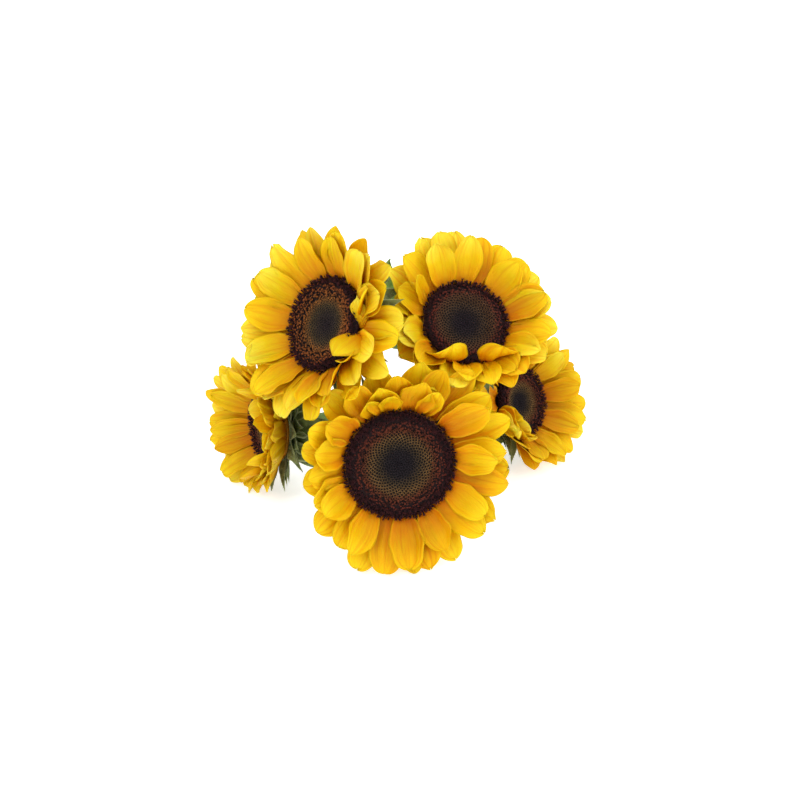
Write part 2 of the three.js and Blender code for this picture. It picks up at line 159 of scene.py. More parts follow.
class Stream:
    """A repeatable stream of numbers, the same one that the solids were grown with."""

    def __init__(self, seed: int) -> None:
        """Starts the stream at a seed."""
        self.state = seed & 0xFFFFFFFF

    def draw(self) -> float:
        """Gives the next number from 0 to 1."""
        self.state = (self.state * 1664525 + 1013904223) & 0xFFFFFFFF
        return self.state / 4294967296

    def around(self, spread: float) -> float:
        """Gives the next number between minus half and plus half of a spread."""
        return spread * (self.draw() - 0.5)

    def turns(self, count: int, spread: float, phase: float = 0.0) -> Iterator[float]:
        """Gives so many azimuths about evenly round a circle, each one drawn when its turn comes."""
        for i in range(count):
            yield 360 / count * (i + phase + self.around(spread))


@dataclass(frozen=True)
class Layout:
    """How the bunch is laid out: as seen by someone who looks down at it from the front."""

    elevation: float = 30.0
    middle: Triple = (0.0, -121.0, 94.9)
    box_middle: Triple = (2.2, 1.9, 0.0)
    eye_distance: float = 640.0

    def shift(self, across: float, up: float, toward: float) -> Array:
        """Turns a shift across, up and toward the viewer into the ground's axes."""
        cos, sin = math.cos(math.radians(self.elevation)), math.sin(math.radians(self.elevation))
        return np.array([across, up * sin - toward * cos, up * cos + toward * sin])

    def place(self, across: float, up: float, toward: float) -> Array:
        """Turns a place across, up and toward the viewer into the ground's axes."""
        return self.shift(across, up, toward) + np.array(self.middle)

    def settle(self, points: Array) -> Array:
        """Moves points in the ground's axes into the part's frame, in metres."""
        return (points - np.array(self.box_middle)) * METRES


LAYOUT = Layout()


@dataclass
class Draft:
    """Points and faces of a piece, gathered shape by shape, in the axes of a place where one is given."""

    place: Matrix | None = None
    points: list[Array] = field(default_factory=list)
    faces: list[tuple[int, ...]] = field(default_factory=list)
    uvs: list[Array] = field(default_factory=list)
    slots: list[Array] = field(default_factory=list)
    count: int = 0

    def add(self, points: Array, faces: Array, uvs: Array, slot: int = 0) -> None:
        """Adds one shape.

        Args:
            points: The shape's points, one to a row.
            faces: Rows of indices into the points, all faces with the same number of corners.
            uvs: One pair for each corner of each face.
            slot: The number of the material that the faces take.
        """
        self.points.append(points if self.place is None else placed(points, self.place))
        self.faces.extend(map(tuple, (faces + self.count).tolist()))
        self.uvs.append(uvs.reshape(-1, 2))
        self.slots.append(np.full(len(faces), slot))
        self.count += len(points)

    def rings(self, rings: Array, poles: Poles = (None, None), slot: int = 0) -> None:
        """Adds a round skin over rings of points that run anticlockwise about the way on.

        Args:
            rings: Points as rows by sides by three.
            poles: Closing points before the first ring and after the last, or None for an open end.
            slot: The number of the material.
        """
        rows, sides = rings.shape[:2]
        index = np.arange(rows * sides).reshape(rows, sides)
        after = np.roll(index, -1, axis=1)
        quads = np.stack([index[:-1], after[:-1], after[1:], index[1:]], -1).reshape(-1, 4)
        turn = np.arange(sides) / sides
        low, side = np.meshgrid(np.arange(rows - 1) / (rows - 1), turn, indexing="ij")
        high, next_side = low + 1 / (rows - 1), side + 1 / sides
        places = np.stack([side, low, next_side, low, next_side, high, side, high], -1)
        first = self.count
        self.add(rings.reshape(-1, 3), quads, places, slot)
        rims = ((after[0], index[0]), (index[-1], after[-1]))
        for pole, rim, level in zip(poles, rims, (0.0, 1.0)):
            if pole is not None:
                fan = np.stack([np.full(sides, self.count), rim[0] + first, rim[1] + first], -1) - self.count
                self.add(pole.reshape(1, 3), fan, np.stack([turn, np.full(sides, level)] * 3, -1), slot)

    def shell(self, top: Array, under: Array, along: Array, slot: int = 0, chart_from: float = 0.0) -> None:
        """Adds a thin closed blade.

        Args:
            top: The upper face's points, rows along the blade by columns across it by three.
            under: The lower face's points, laid out the same. Its rim is not used, so the edge is sharp.
            along: How far along the blade each row lies, from 0 to 1.
            slot: The number of the material.
            chart_from: Where the blade starts across its map, so that no two need share one pattern.
        """
        rows, cols = top.shape[:2]
        upper = np.arange(rows * cols).reshape(rows, cols)
        lower = upper.copy()
        lower[1:-1, 1:-1] = rows * cols + np.arange((rows - 2) * (cols - 2)).reshape(rows - 2, cols - 2)
        level, side = np.meshgrid(along, chart_from + np.linspace(0, 1, cols), indexing="ij")

        def corners(grid: Array, width: int) -> Array:
            """Lists the four corners of each cell of a grid, on along and then across."""
            cells = np.stack([grid[:-1, :-1], grid[1:, :-1], grid[1:, 1:], grid[:-1, 1:]], 2)
            return cells.reshape(-1, 4, width)

        up, down = corners(upper, 1)[..., 0], corners(lower, 1)[..., 0]
        place = corners(np.stack([side, level], -1), 2)
        points = np.concatenate([top.reshape(-1, 3), under[1:-1, 1:-1].reshape(-1, 3)])
        self.add(points, np.concatenate([up, down[:, ::-1]]), np.concatenate([place, place[:, ::-1]]), slot)

    def remap(self, levels: Array) -> None:
        """Maps the draft anew, with nothing across and, along, a level for each point."""
        corners = [i for face in self.faces for i in face]
        self.uvs = [np.stack([np.zeros(len(corners)), levels[corners]], -1)]

    def mesh(self, name: str, points: Array) -> Mesh:
        """Makes a smooth-shaded mesh of the gathered faces.

        Args:
            name: The mesh's name.
            points: All the gathered points, where they belong.

        Returns:
            The mesh, without materials.
        """
        mesh = bpy.data.meshes.new(name)
        mesh.from_pydata(points.tolist(), [], self.faces)
        layer = mesh.uv_layers.new(name="UVMap")
        layer.data.foreach_set("uv", np.concatenate(self.uvs).astype(np.float32).ravel())
        mesh.polygons.foreach_set("use_smooth", np.ones(len(mesh.polygons), bool))
        return mesh

    def piece(self, name: str, *finishes: Material) -> Object:
        """Makes the gathered shapes one object in the part's frame.

        Args:
            name: The piece's name.
            finishes: The materials, in the order of their numbers.

        Returns:
            The new object, at the origin.
        """
        mesh = self.mesh(name, LAYOUT.settle(rested(np.concatenate(self.points))))
        mesh.polygons.foreach_set("material_index", np.concatenate(self.slots).astype(np.int32))
        for finish in finishes:
            mesh.materials.append(finish)
        mesh.update()
        return linked(name, mesh)


def turned(profile: Sequence[Pair], segments: int) -> tuple[Array, Poles]:
    """Turns a profile about the z axis.

    Args:
        profile: Pairs of radius and height, from the foot to the top. A radius of 0 closes that end.
        segments: How many sides the turned shape has.

    Returns:
        The rings, and the closing points at the foot and at the top, or None.
    """
    circle = np.stack([np.cos(spokes(segments)), np.sin(spokes(segments))], -1)
    rings = np.array([[(r * x, r * y, z) for x, y in circle] for r, z in profile if r > 0])
    foot, top = (np.array([0, 0, z]) if r == 0 else None for r, z in (profile[0], profile[-1]))
    return rings, (foot, top)


def smoothed(profile: Sequence[Pair], steps: int) -> list[Pair]:
    """Draws a soft line through the points of a profile.

    Args:
        profile: Pairs of radius and height.
        steps: How many steps there are between two of them.

    Returns:
        The closer pairs.
    """
    knots = np.array(profile, float)
    ends = np.concatenate([knots[:1], knots, knots[-1:]])
    drawn = []
    for i in range(len(knots) - 1):
        a, b, c, d = ends[i : i + 4]
        for t in np.arange(steps) / steps:
            square, cube = 2 * a - 5 * b + 4 * c - d, 3 * b - a - 3 * c + d
            blend = 0.5 * (2 * b + (c - a) * t + square * t**2 + cube * t**3)
            drawn.append((max(0.0, float(blend[0])), float(blend[1])))
    return [*drawn, tuple(knots[-1])]


class Path:
    """A smooth line in space that is read by how far along it one is."""

    def __init__(self, points: Array) -> None:
        """Keeps the line.

        Args:
            points: Closely spaced points along it.
        """
        self.points = points
        self.along = np.concatenate([[0], np.cumsum(np.linalg.norm(np.diff(points, axis=0), axis=1))])
        self.length = float(self.along[-1])

    @classmethod
    def bezier(cls, *knots: Array) -> Path:
        """Draws a quadratic or cubic curve.

        Args:
            knots: Its three or four points.

        Returns:
            The curve.
        """
        t, order = np.linspace(0, 1, 3 * FINE_STEPS)[:, None], len(knots) - 1
        shares = (math.comb(order, k) * (1 - t) ** (order - k) * t**k for k in range(order + 1))
        return cls(sum(share * knot for share, knot in zip(shares, knots)))

    @classmethod
    def through(cls, knots: Sequence[Sequence[float]]) -> Path:
        """Draws a centripetal curve.

        Args:
            knots: The points that it passes.

        Returns:
            The curve.
        """
        places = [np.array(knot, float) for knot in knots]
        ends = [2 * places[0] - places[1], *places, 2 * places[-1] - places[-2]]
        drawn = []
        for i in range(len(places) - 1):
            a, b, c, d = ends[i : i + 4]
            gaps = [max(1e-4, float(np.linalg.norm(q - p)) ** 0.5) for p, q in ((a, b), (b, c), (c, d))]
            leave = ((b - a) / gaps[0] - (c - a) / (gaps[0] + gaps[1]) + (c - b) / gaps[1]) * gaps[1]
            arrive = ((c - b) / gaps[1] - (d - b) / (gaps[1] + gaps[2]) + (d - c) / gaps[2]) * gaps[1]
            t = np.linspace(0, 1, FINE_STEPS, endpoint=i == len(places) - 2)[:, None]
            square, cube = 3 * (c - b) - 2 * leave - arrive, 2 * (b - c) + leave + arrive
            drawn.append(b + leave * t + square * t**2 + cube * t**3)
        return cls(np.concatenate(drawn))

    def at(self, share: float | Array) -> Array:
        """Gives the place at a share of the length."""
        want = np.asarray(share) * self.length
        return np.stack([np.interp(want, self.along, self.points[:, k]) for k in range(3)], -1)

    def heading(self, share: float | Array, reach: float = 0.004) -> Array:
        """Gives the direction at a share of the length, as between two places a little before and after."""
        before, after = np.maximum(0, np.asarray(share) - reach), np.minimum(1, np.asarray(share) + reach)
        return unit(self.at(after) - self.at(before))

    def tube(self, draft: Draft, radius: Callable[[Array, Array], Array], rows: int, sides: int,
             slot: int = 0) -> None:
        """Adds a round limb along the line to a draft.

        Args:
            draft: Where the limb goes.
            radius: Gives the radius from the share along and the angle around.
            rows: How many rings the limb has, less one.
            sides: How many points each ring has.
            slot: The number of the material.
        """
        shares, angles = np.linspace(0.0, 1.0, rows + 1), spokes(sides)
        middles, headings = self.at(shares), self.heading(shares)
        spoke = unit(np.cross(headings[0], [0.31, 0.17, 0.93]))
        rings = []
        for share, middle, heading in zip(shares, middles, headings):
            spoke = unit(spoke - heading * spoke.dot(heading))
            spread = np.cos(angles)[:, None] * spoke + np.sin(angles)[:, None] * np.cross(heading, spoke)
            rings.append(middle + spread * radius(np.full(sides, share), angles)[:, None])
        draft.rings(np.array(rings), (middles[0], middles[-1]), slot)


class Signal:
    """What one socket of a node tree gives, to be reckoned with like a number."""

    def __init__(self, sketch: Sketch, socket: Socket) -> None:
        """Keeps the socket and the tree that it is in."""
        self.sketch, self.socket = sketch, socket

    def other(self, give: str | int) -> Signal:
        """Gives another output of the same node."""
        return Signal(self.sketch, self.socket.node.outputs[give])

    def step(self, operation: str, *others: object) -> Signal:
        """Gives the result of one named step of arithmetic."""
        return self.sketch.add("ShaderNodeMath", dict(enumerate((self, *others))), operation=operation)

    def __add__(self, other: object) -> Signal:
        """Adds a signal or a number."""
        return self.step("ADD", other)

    def __sub__(self, other: object) -> Signal:
        """Takes a signal or a number away."""
        return self.step("SUBTRACT", other)

    def __mul__(self, other: object) -> Signal:
        """Multiplies by a signal or a number."""
        return self.step("MULTIPLY", other)

    def __truediv__(self, other: object) -> Signal:
        """Divides by a signal or a number."""
        return self.step("DIVIDE", other)

    def __abs__(self) -> Signal:
        """Drops the sign."""
        return self.step("ABSOLUTE")


class Sketch:
    """A node tree that is being drawn."""

    def __init__(self, tree: Tree) -> None:
        """Starts on an existing tree."""
        self.tree = tree

    def add(self, kind: str, feeds: dict[str | int, object] | None = None, give: str | int = 0,
            **settings: object) -> Signal:
        """Adds a node.

        Args:
            kind: The node's type.
            feeds: What goes into its inputs, by name or number: a signal, or a plain value.
            give: The output that is wanted, by name or number.
            settings: The node's own properties.

        Returns:
            What that output gives.
        """
        node = self.tree.nodes.new(kind)
        for key, value in settings.items():
            setattr(node, key, value)
        for key, value in (feeds or {}).items():
            if isinstance(value, Signal):
                self.tree.links.new(value.socket, node.inputs[key])
            else:
                node.inputs[key].default_value = value
        return Signal(self, node.outputs[give])

    def xyz(self, *parts: object) -> Signal:
        """Joins three parts into a vector."""
        return self.add("ShaderNodeCombineXYZ", dict(enumerate(parts)))

    def chance(self, low: object, high: object, seed: Signal, vector: bool = False, **more: object) -> Signal:
        """Draws at random for each element.

        Args:
            low: The lower bound.
            high: The upper bound.
            seed: The seed.
            vector: Whether the bounds and the result are vectors.
            more: Other inputs of the node.

        Returns:
            The random number or vector.
        """
        kind, first, give = ("FLOAT_VECTOR", 0, 0) if vector else ("FLOAT", 2, 1)
        feeds = {first: low, first + 1: high, "Seed": seed, **more}
        return self.add("FunctionNodeRandomValue", feeds, give, data_type=kind)


class Coat(Sketch):
    """The node tree of one material, with its shader."""

    def __init__(self, name: str, roughness: float, gloss: float, **constants: object) -> None:
        """Starts a material.

        Args:
            name: The material's name.
            roughness: The shader's roughness.
            gloss: The strength of its highlights.
            constants: Plain values for its other sockets, with underscores for spaces.
        """
        self.material = bpy.data.materials.new(name)
        self.material.use_nodes = True
        super().__init__(self.material.node_tree)
        self.shader = next(n for n in self.tree.nodes if n.type == "BSDF_PRINCIPLED")
        for key, value in {"Roughness": roughness, "Specular_IOR_Level": gloss, **constants}.items():
            self.shader.inputs[key.replace("_", " ")].default_value = value

    def place(self) -> Signal:
        """Gives the place on the piece in its own axes."""
        return self.add("ShaderNodeTexCoord", give="Object")

    def map(self) -> tuple[Signal, Signal, Signal]:
        """Reads the piece's own map.

        Returns:
            The map, and its parts across and along.
        """
        found = self.add("ShaderNodeUVMap", uv_map="UVMap")
        parts = self.add("ShaderNodeSeparateXYZ", {0: found})
        return found, parts, parts.other(1)

    def mark(self, name: str) -> Signal:
        """Gives a number that the piece carries under a name."""
        return self.add("ShaderNodeAttribute", give="Fac", attribute_name=name)

    def noise(self, vector: Signal, scale: float | Triple, detail: float = 3.0) -> Signal:
        """Gives soft noise.

        Args:
            vector: Where the noise is read.
            scale: How fine it is, in all directions or for each axis.
            detail: How many finer layers it has.

        Returns:
            The noise, from 0 to 1.
        """
        if isinstance(scale, tuple):
            vector, scale = self.add("ShaderNodeMapping", {"Vector": vector, "Scale": scale}), 1.0
        return self.add("ShaderNodeTexNoise", {"Vector": vector, "Scale": scale, "Detail": detail})

    def blend(self, share: Signal, first: Signal | Colour, second: Signal | Colour) -> Signal:
        """Mixes two colours by a share. A plain one is given as a screen shows it."""
        first, second = (linear(given) if isinstance(given, tuple) else given for given in (first, second))
        return self.add("ShaderNodeMix", {0: share, 6: first, 7: second}, 2, data_type="RGBA")

    def ramp(self, factor: Signal, stops: Stops) -> Signal:
        """Gives a colour that changes along a row of stops.

        Args:
            factor: Where along the row it is.
            stops: Pairs of a place from 0 to 1 and the colour there.

        Returns:
            The colour.
        """
        made = self.add("ShaderNodeValToRGB", {0: factor})
        elements = made.socket.node.color_ramp.elements
        while len(elements) < len(stops):
            elements.new(0.5)
        for element, (place, colour) in zip(elements, stops):
            element.position, element.color = place, linear(colour)
        return made

    def window(self, value: Signal, low: float, high: float) -> Signal:
        """Gives 0 below low, 1 above high, and a soft step between."""
        feeds = {0: value, 1: low, 2: high, 3: 0.0, 4: 1.0}
        return self.add("ShaderNodeMapRange", feeds, interpolation_type="SMOOTHSTEP")

    def relief(self, height: Signal, depth: float, strength: float, under: Signal | None = None) -> Signal:
        """Gives normals that are raised by a height of so many millimetres, over others if they are given."""
        feeds = {"Strength": strength, "Distance": depth * METRES, "Height": height}
        return self.add("ShaderNodeBump", feeds if under is None else {**feeds, "Normal": under})

    def finish(self, colour: Signal, normal: Signal) -> Material:
        """Joins the colour and the normals to the shader.

        Args:
            colour: The base colour.
            normal: The normals.

        Returns:
            The material.
        """
        for key, signal in (("Base Color", colour), ("Normal", normal)):
            self.tree.links.new(signal.socket, self.shader.inputs[key])
        return self.material


@dataclass(frozen=True)
class PetalFinish:
    """Silky yellow petals, orange at the foot by their own colour and painted shade, with fine veins along
    them.
    """

    name: str
    foot: Colour
    low: Colour
    middle: Colour
    tip: Colour
    rim: Colour = (236, 172, 6)
    roughness: float = 0.52
    gloss: float = 0.09
    glow: float = 0.36
    glow_depth: float = 0.0025
    glow_colour: Triple = (1.0, 0.45, 0.05)
    streak_scale: Triple = (38.0, 1.1, 1.0)
    groove_scale: Triple = (10.0, 0.7, 1.0)

    def material(self) -> Material:
        """Builds the material.

        Returns:
            The material.
        """
        coat = Coat(self.name, self.roughness, self.gloss, Subsurface_Weight=self.glow,
                    Subsurface_Scale=self.glow_depth, Subsurface_Radius=self.glow_colour)
        chart, across, along = coat.map()
        drift = coat.noise(coat.place(), 95.0, 2.0)
        # The foot and low stops are partly the petals' own orange and partly painted shade where they crowd
        # the disc.
        stops = ((0.07, self.foot), (0.3, self.low), (0.56, self.middle), (0.94, self.tip))
        colour = coat.ramp(along + (drift - 0.5) * 0.34, stops)
        streaks = coat.noise(chart, self.streak_scale, 4.0)
        shaded_grooves = coat.noise(chart, self.groove_scale, 2.0)
        edge = abs(across.step("FRACT") - 0.5)
        # Darkening where the groove noise is low, towards the foot colour, is painted shade in the petals'
        # creases.
        for value, low, high, share, shade in ((streaks, 0.54, 0.32, 0.24, self.low),
                                               (shaded_grooves, 0.52, 0.34, 0.33, self.foot),
                                               (edge, 0.4, 0.5, 0.45, self.rim)):
            colour = coat.blend(coat.window(value, low, high) * share, colour, shade)
        return coat.finish(colour, coat.relief(shaded_grooves, 1.4, 0.5, coat.relief(streaks, 0.5, 0.5)))


@dataclass(frozen=True)
class FloretFinish:
    """Florets whose bodies and tips change colour from the middle of the disc outward."""

    name: str
    bodies: Stops
    tips: Stops
    tip_from: float = 0.8
    uneven: float = 0.35
    shade: Colour = (18, 10, 12)

    def material(self) -> Material:
        """Builds the material.

        Returns:
            The material.
        """
        coat = Coat(self.name, roughness=0.75, gloss=0.2)
        _, _, along = coat.map()
        share = coat.mark("share")
        body, tip = coat.ramp(share, self.bodies), coat.ramp(share, self.tips)
        colour = coat.blend(coat.window(along, self.tip_from - 0.12, self.tip_from + 0.08), body, tip)
        colour = coat.blend(coat.window(coat.mark("tint"), 0.7, 0.05) * self.uneven, colour, self.shade)
        return coat.finish(colour, coat.relief(coat.noise(coat.place(), 2600.0, 2.0), 0.12, 0.4))


@dataclass(frozen=True)
class BedFinish:
    """The ground that the florets stand in, coloured in rings from the middle of the disc outward."""

    name: str
    rings: Stops
    shade: Colour = (14, 10, 10)

    def material(self) -> Material:
        """Builds the material.

        Returns:
            The material.
        """
        coat = Coat(self.name, roughness=0.8, gloss=0.2)
        _, _, along = coat.map()
        speckle = coat.noise(coat.place(), 900.0)
        colour = coat.ramp(along + (speckle - 0.5) * 0.12, self.rings)
        colour = coat.blend(coat.window(speckle, 0.55, 0.3) * 0.5, colour, self.shade)
        return coat.finish(colour, coat.relief(speckle, 0.4, 0.6))


@dataclass(frozen=True)
class GreenFinish:
    """Living green: matt, mottled, ribbed or veined along its own map, and paler at the edges."""

    name: str
    dark: Colour
    light: Colour
    edge: Colour
    ribs: Triple
    rib_depth: float = 0.3
    veins: float = 0.0
    roughness: float = 0.62
    glow: float = 0.06
    glow_depth: float = 0.002
    glow_colour: Triple = (0.5, 1.0, 0.25)

    def material(self) -> Material:
        """Builds the material.

        Returns:
            The material.
        """
        coat = Coat(self.name, self.roughness, gloss=0.4, Subsurface_Weight=self.glow,
                    Subsurface_Scale=self.glow_depth, Subsurface_Radius=self.glow_colour)
        chart, across, along = coat.map()
        mottle, ribs = coat.noise(coat.place(), 210.0, 4.0), coat.noise(chart, self.ribs)
        colour = coat.blend(coat.window(mottle, 0.3, 0.7), self.dark, self.light)
        colour = coat.blend(coat.window(ribs, 0.56, 0.3) * 0.4, colour, self.dark)
        normal = coat.relief(ribs, self.rib_depth, 0.7, coat.relief(mottle, 0.4, 0.3))
        off_middle = abs(across - 0.5)
        if not self.veins:
            return coat.finish(coat.blend(coat.window(off_middle, 0.4, 0.5) * 0.7, colour, self.edge), normal)
        wave = abs(((along - off_middle * 0.5) * (math.pi * self.veins)).step("SINE"))
        midrib = coat.window(off_middle, 0.02, 0.0)
        lines = (coat.window(wave, 0.16, 0.0) * 0.7).step("MAXIMUM", midrib)
        return coat.finish(coat.blend(lines * 0.7, colour, self.edge), coat.relief(lines, 0.5, 0.5, normal))


@dataclass(frozen=True)
class PlainFinish:
    """A soft even colour with a fine grain, for hairs, pith and the floor."""

    name: str
    colour: Colour
    other: Colour
    grain: float = 700.0
    roughness: float = 0.7

    def material(self) -> Material:
        """Builds the material.

        Returns:
            The material.
        """
        coat = Coat(self.name, self.roughness, gloss=0.25)
        grain = coat.noise(coat.place(), self.grain)
        return coat.finish(coat.blend(coat.window(grain, 0.35, 0.65), self.colour, self.other),
                           coat.relief(grain, 0.05, 0.3))


class Finishes:
    """Every material of the bunch, made once."""

    bed_rings: Stops = ((0.0, (16, 14, 18)), (0.5, (24, 18, 16)), (0.8, (30, 14, 14)), (1.0, (28, 10, 14)))
    cups: Stops = ((0.0, (18, 14, 20)), (0.3, (22, 18, 20)), (0.5, (28, 18, 16)), (0.7, (36, 16, 16)))
    dark: Stops = ((0.5, (34, 14, 14)), (0.85, (46, 18, 22)), (1.0, (38, 14, 22)))
    meshes: dict[Bloom, Stops] = {
        Bloom.GOLDEN: ((0.0, (44, 36, 44)), (0.25, (48, 40, 44)), (0.4, (98, 80, 54)),
                       (0.54, (150, 114, 68)), (0.63, (128, 80, 50)), (0.74, (96, 46, 34))),
        Bloom.DUSKY: ((0.0, (46, 34, 46)), (0.27, (54, 42, 46)), (0.48, (98, 76, 56)),
                      (0.66, (120, 84, 56)), (0.78, (92, 50, 40))),
        Bloom.COPPER: ((0.0, (48, 36, 42)), (0.24, (66, 54, 46)), (0.42, (90, 74, 46)),
                       (0.58, (158, 106, 54))),
    }

    def __init__(self) -> None:
        """Builds them all."""
        self.petals = [PetalFinish(*row).material() for row in (
            ("petal_gold", (196, 110, 0), (210, 144, 0), (213, 167, 0), (226, 193, 22)),
            ("petal_yellow", (204, 122, 0), (214, 155, 0), (220, 180, 8), (233, 210, 56)),
            ("petal_amber", (184, 94, 0), (198, 126, 0), (204, 148, 0), (219, 176, 10)),
        )]
        self.ring, self.pith, self.hair = (PlainFinish(*row).material() for row in (
            ("ring_amber", (176, 112, 8), (142, 92, 16)),
            ("cut_pith", (226, 226, 190), (198, 206, 150)),
            ("pale_hairs", (196, 206, 170), (160, 174, 128)),
        ))
        self.calyx, self.bract, self.stem, self.leaf = (GreenFinish(*row).material() for row in (
            ("calyx_green", (64, 74, 32), (92, 104, 48), (150, 160, 100), (26.0, 1.5, 1.0)),
            ("bract_green", (70, 80, 42), (124, 134, 80), (196, 202, 156), (14.0, 1.4, 1.0)),
            ("stem_green", (104, 132, 62), (124, 150, 76), (132, 156, 84), (26.0, 3.0, 1.0), 0.5),
            ("leaf_green", (98, 132, 44), (124, 156, 60), (182, 196, 114), (18.0, 18.0, 1.0), 0.5, 13.0,
             0.55, 0.1),
        ))
        rust, copper, self.maroon = (FloretFinish(name, self.dark, *row).material() for name, *row in (
            ("rust_florets", ((0.5, (150, 84, 50)), (0.86, (122, 50, 40))), 0.76, 0.7),
            ("copper_florets", ((0.45, (186, 122, 58)), (0.86, (168, 90, 44))), 0.72, 0.7),
            ("maroon_florets", ((0.8, (98, 44, 42)), (1.0, (70, 30, 36))), 0.8),
        ))
        self.tipped = {Bloom.GOLDEN: rust, Bloom.DUSKY: rust, Bloom.COPPER: copper}
        self.bed = BedFinish("disc_bed", self.bed_rings).material()
        self.buds = {bloom: FloretFinish(f"{bloom.value}_mesh_buds", self.cups, mesh, uneven=0.25).material()
                     for bloom, mesh in self.meshes.items()}


@dataclass(frozen=True)
class Push:
    """Where a neighbour presses on the petals, and what that does to them there."""

    azimuth: float
    spread: float
    rise: float
    bend: float
    shorter: float


@dataclass(frozen=True)
class Blade:
    """One thin blade, petal or bract: its place and sizes, and how it stands, rolls and folds.

    Where a value is left out, it is that of a petal which curls over the disc. Bracts use no point and
    aren't ruffled.
    """

    azimuth: float
    length: float
    width: float
    rise: float
    bend: float
    sway: float
    twist: float
    fold: float
    point: float = 0.6
    aside: float = 0.0
    ruffled: float = 0.5
    root: Pair = (0.0, 0.0)
    tip_curl: float = 0.0
    fold_lost: float = 0.4

    def directions(self, s: Array) -> tuple[Array, Array]:
        """Gives the way on at shares of the length.

        Args:
            s: The shares.

        Returns:
            The heading and the sideways direction, one to a row.
        """
        outward, sideways = compass(math.radians(self.azimuth))
        slope = np.radians(self.rise + self.bend * s + self.tip_curl * s**5)[:, None]
        yaw = np.radians(self.aside + self.sway * s)[:, None]
        heading = (np.cos(yaw) * outward + np.sin(yaw) * sideways) * np.cos(slope)
        heading = heading + np.sin(slope) * np.array([0, 0, 1])
        return heading, np.cos(yaw) * sideways - np.sin(yaw) * outward

    def surface(self, s: Array, u: Array, half: Array, lift: Array, slide: Array) -> tuple[Array, Array]:
        """Gives the blade's points and the way they face.

        Args:
            s: Shares of the length, one for each row.
            u: Places across, from -1 to 1, one for each column.
            half: Half the width at each row.
            lift: How far each point is raised off the blade, rows by columns.
            slide: How far each point is moved on along the blade, rows by columns.

        Returns:
            The points and their normals, rows by columns by three.
        """
        fine = np.linspace(0, 1, FINE_STEPS + 1)
        steps = self.directions((fine[1:] + fine[:-1]) / 2)[0] * self.length / FINE_STEPS
        trail = np.concatenate([np.zeros((1, 3)), np.cumsum(steps, axis=0)])
        root = self.root[0] * compass(math.radians(self.azimuth))[0] + np.array([0, 0, self.root[1]])
        line = root + np.stack([np.interp(s, fine, trail[:, k]) for k in range(3)], -1)
        heading, side = self.directions(s)
        normal = np.cross(heading, side)
        roll = np.radians(self.twist * s)[:, None]
        across = side * np.cos(roll) + normal * np.sin(roll)
        face = normal * np.cos(roll) - side * np.sin(roll)
        arc = np.radians(self.fold * (1 - self.fold_lost * s))[:, None]
        bow = u[None, :] * arc
        reach = half[:, None] * np.sin(bow) / arc
        rise = half[:, None] * (1 - np.cos(bow)) / arc
        facing = face[:, None] * np.cos(bow)[..., None] - across[:, None] * np.sin(bow)[..., None]
        points = line[:, None] + across[:, None] * reach[..., None] + face[:, None] * rise[..., None]
        return points + facing * lift[..., None] + heading[:, None] * slide[..., None], facing


@dataclass(frozen=True)
class PetalCut:
    """How a petal is cut and modelled: its outline, ridges, ruffles and notched tip."""

    rows: int = 28
    columns: int = 14
    crowding: float = 1.45
    widest: float = 0.5
    claw: float = 0.5
    thickness: float = 0.34
    ridge: float = 0.95
    pleat: float = 0.2
    ruffle: float = 1.1
    notch: float = 0.05
    tip_curl: float = 26.0
    groove_sets: tuple[tuple[float, ...], ...] = ((-0.36, 0.34), (-0.5, 0.02, 0.5), (-0.2, 0.44))

    def width_at(self, s: Array, point: float) -> Array:
        """Gives the outline.

        Args:
            s: Shares of the length.
            point: How pointed the tip is. It is low for a round one.

        Returns:
            The share of the full width at each.
        """
        low = self.claw + (1 - self.claw) * np.sin(math.pi / 2 * np.minimum(1, s / self.widest))
        over = np.clip((s - self.widest) / (1 - self.widest), 0, 1)
        return np.where(s < self.widest, low, np.maximum(0.07, (1 - over**2.3) ** point))

    def cut(self, draft: Draft, blade: Blade, chance: np.random.Generator, slot: int) -> None:
        """Adds one petal to a draft.

        Args:
            draft: Where the petal goes.
            blade: The petal's own sizes.
            chance: Where its small differences come from.
            slot: The number of its material.
        """
        s = 1 - (1 - np.linspace(0, 1, self.rows + 1)) ** self.crowding
        u = np.linspace(-1, 1, self.columns + 1)
        blade = replace(blade, tip_curl=chance.uniform(-self.tip_curl, 0.5 * self.tip_curl))
        edge = 1 + 0.03 * np.sin(FULL_TURN * (chance.uniform(1.5, 3) * s + chance.uniform()))
        half = blade.width / 2 * self.width_at(s, blade.point) * edge
        middle = np.sin(math.pi * np.clip(s * 1.02, 0, 1)) ** 0.8
        lift = np.zeros((len(s), len(u)))
        for groove in chance.choice(self.groove_sets[chance.integers(0, 3)], 2):
            drawn_in = np.exp(-(((u - groove - chance.uniform(-0.08, 0.08)) / self.pleat) ** 2))
            lift = lift - self.ridge * chance.uniform(0.6, 1.3) * np.outer(middle, drawn_in)
        waves, phases = chance.uniform(1.2, 2.4), chance.uniform(0, 1, 2)
        phase = np.where(u > 0, phases[0], phases[1])
        ruffle = np.sin(FULL_TURN * (waves * s[:, None] + phase[None, :])) * np.abs(u) ** 2.4
        ruffle = self.ruffle * blade.ruffled * chance.uniform(0.4, 1.2) * ruffle
        lift = lift + ruffle * np.clip(s * 1.5, 0, 1)[:, None]
        teeth = 0.5 - 0.5 * np.cos(FULL_TURN * chance.choice((1.0, 1.5)) * (u + chance.uniform(-0.15, 0.15)))
        tip = np.clip((s - 0.72) / 0.28, 0, 1) ** 2
        slide = -self.notch * blade.length * chance.uniform(0, 1) * np.outer(tip, 1 - teeth)
        points, facing = blade.surface(s, u, half, lift, slide)
        draft.shell(points, points - facing * self.thickness, s, slot, float(chance.integers(0, 60)))


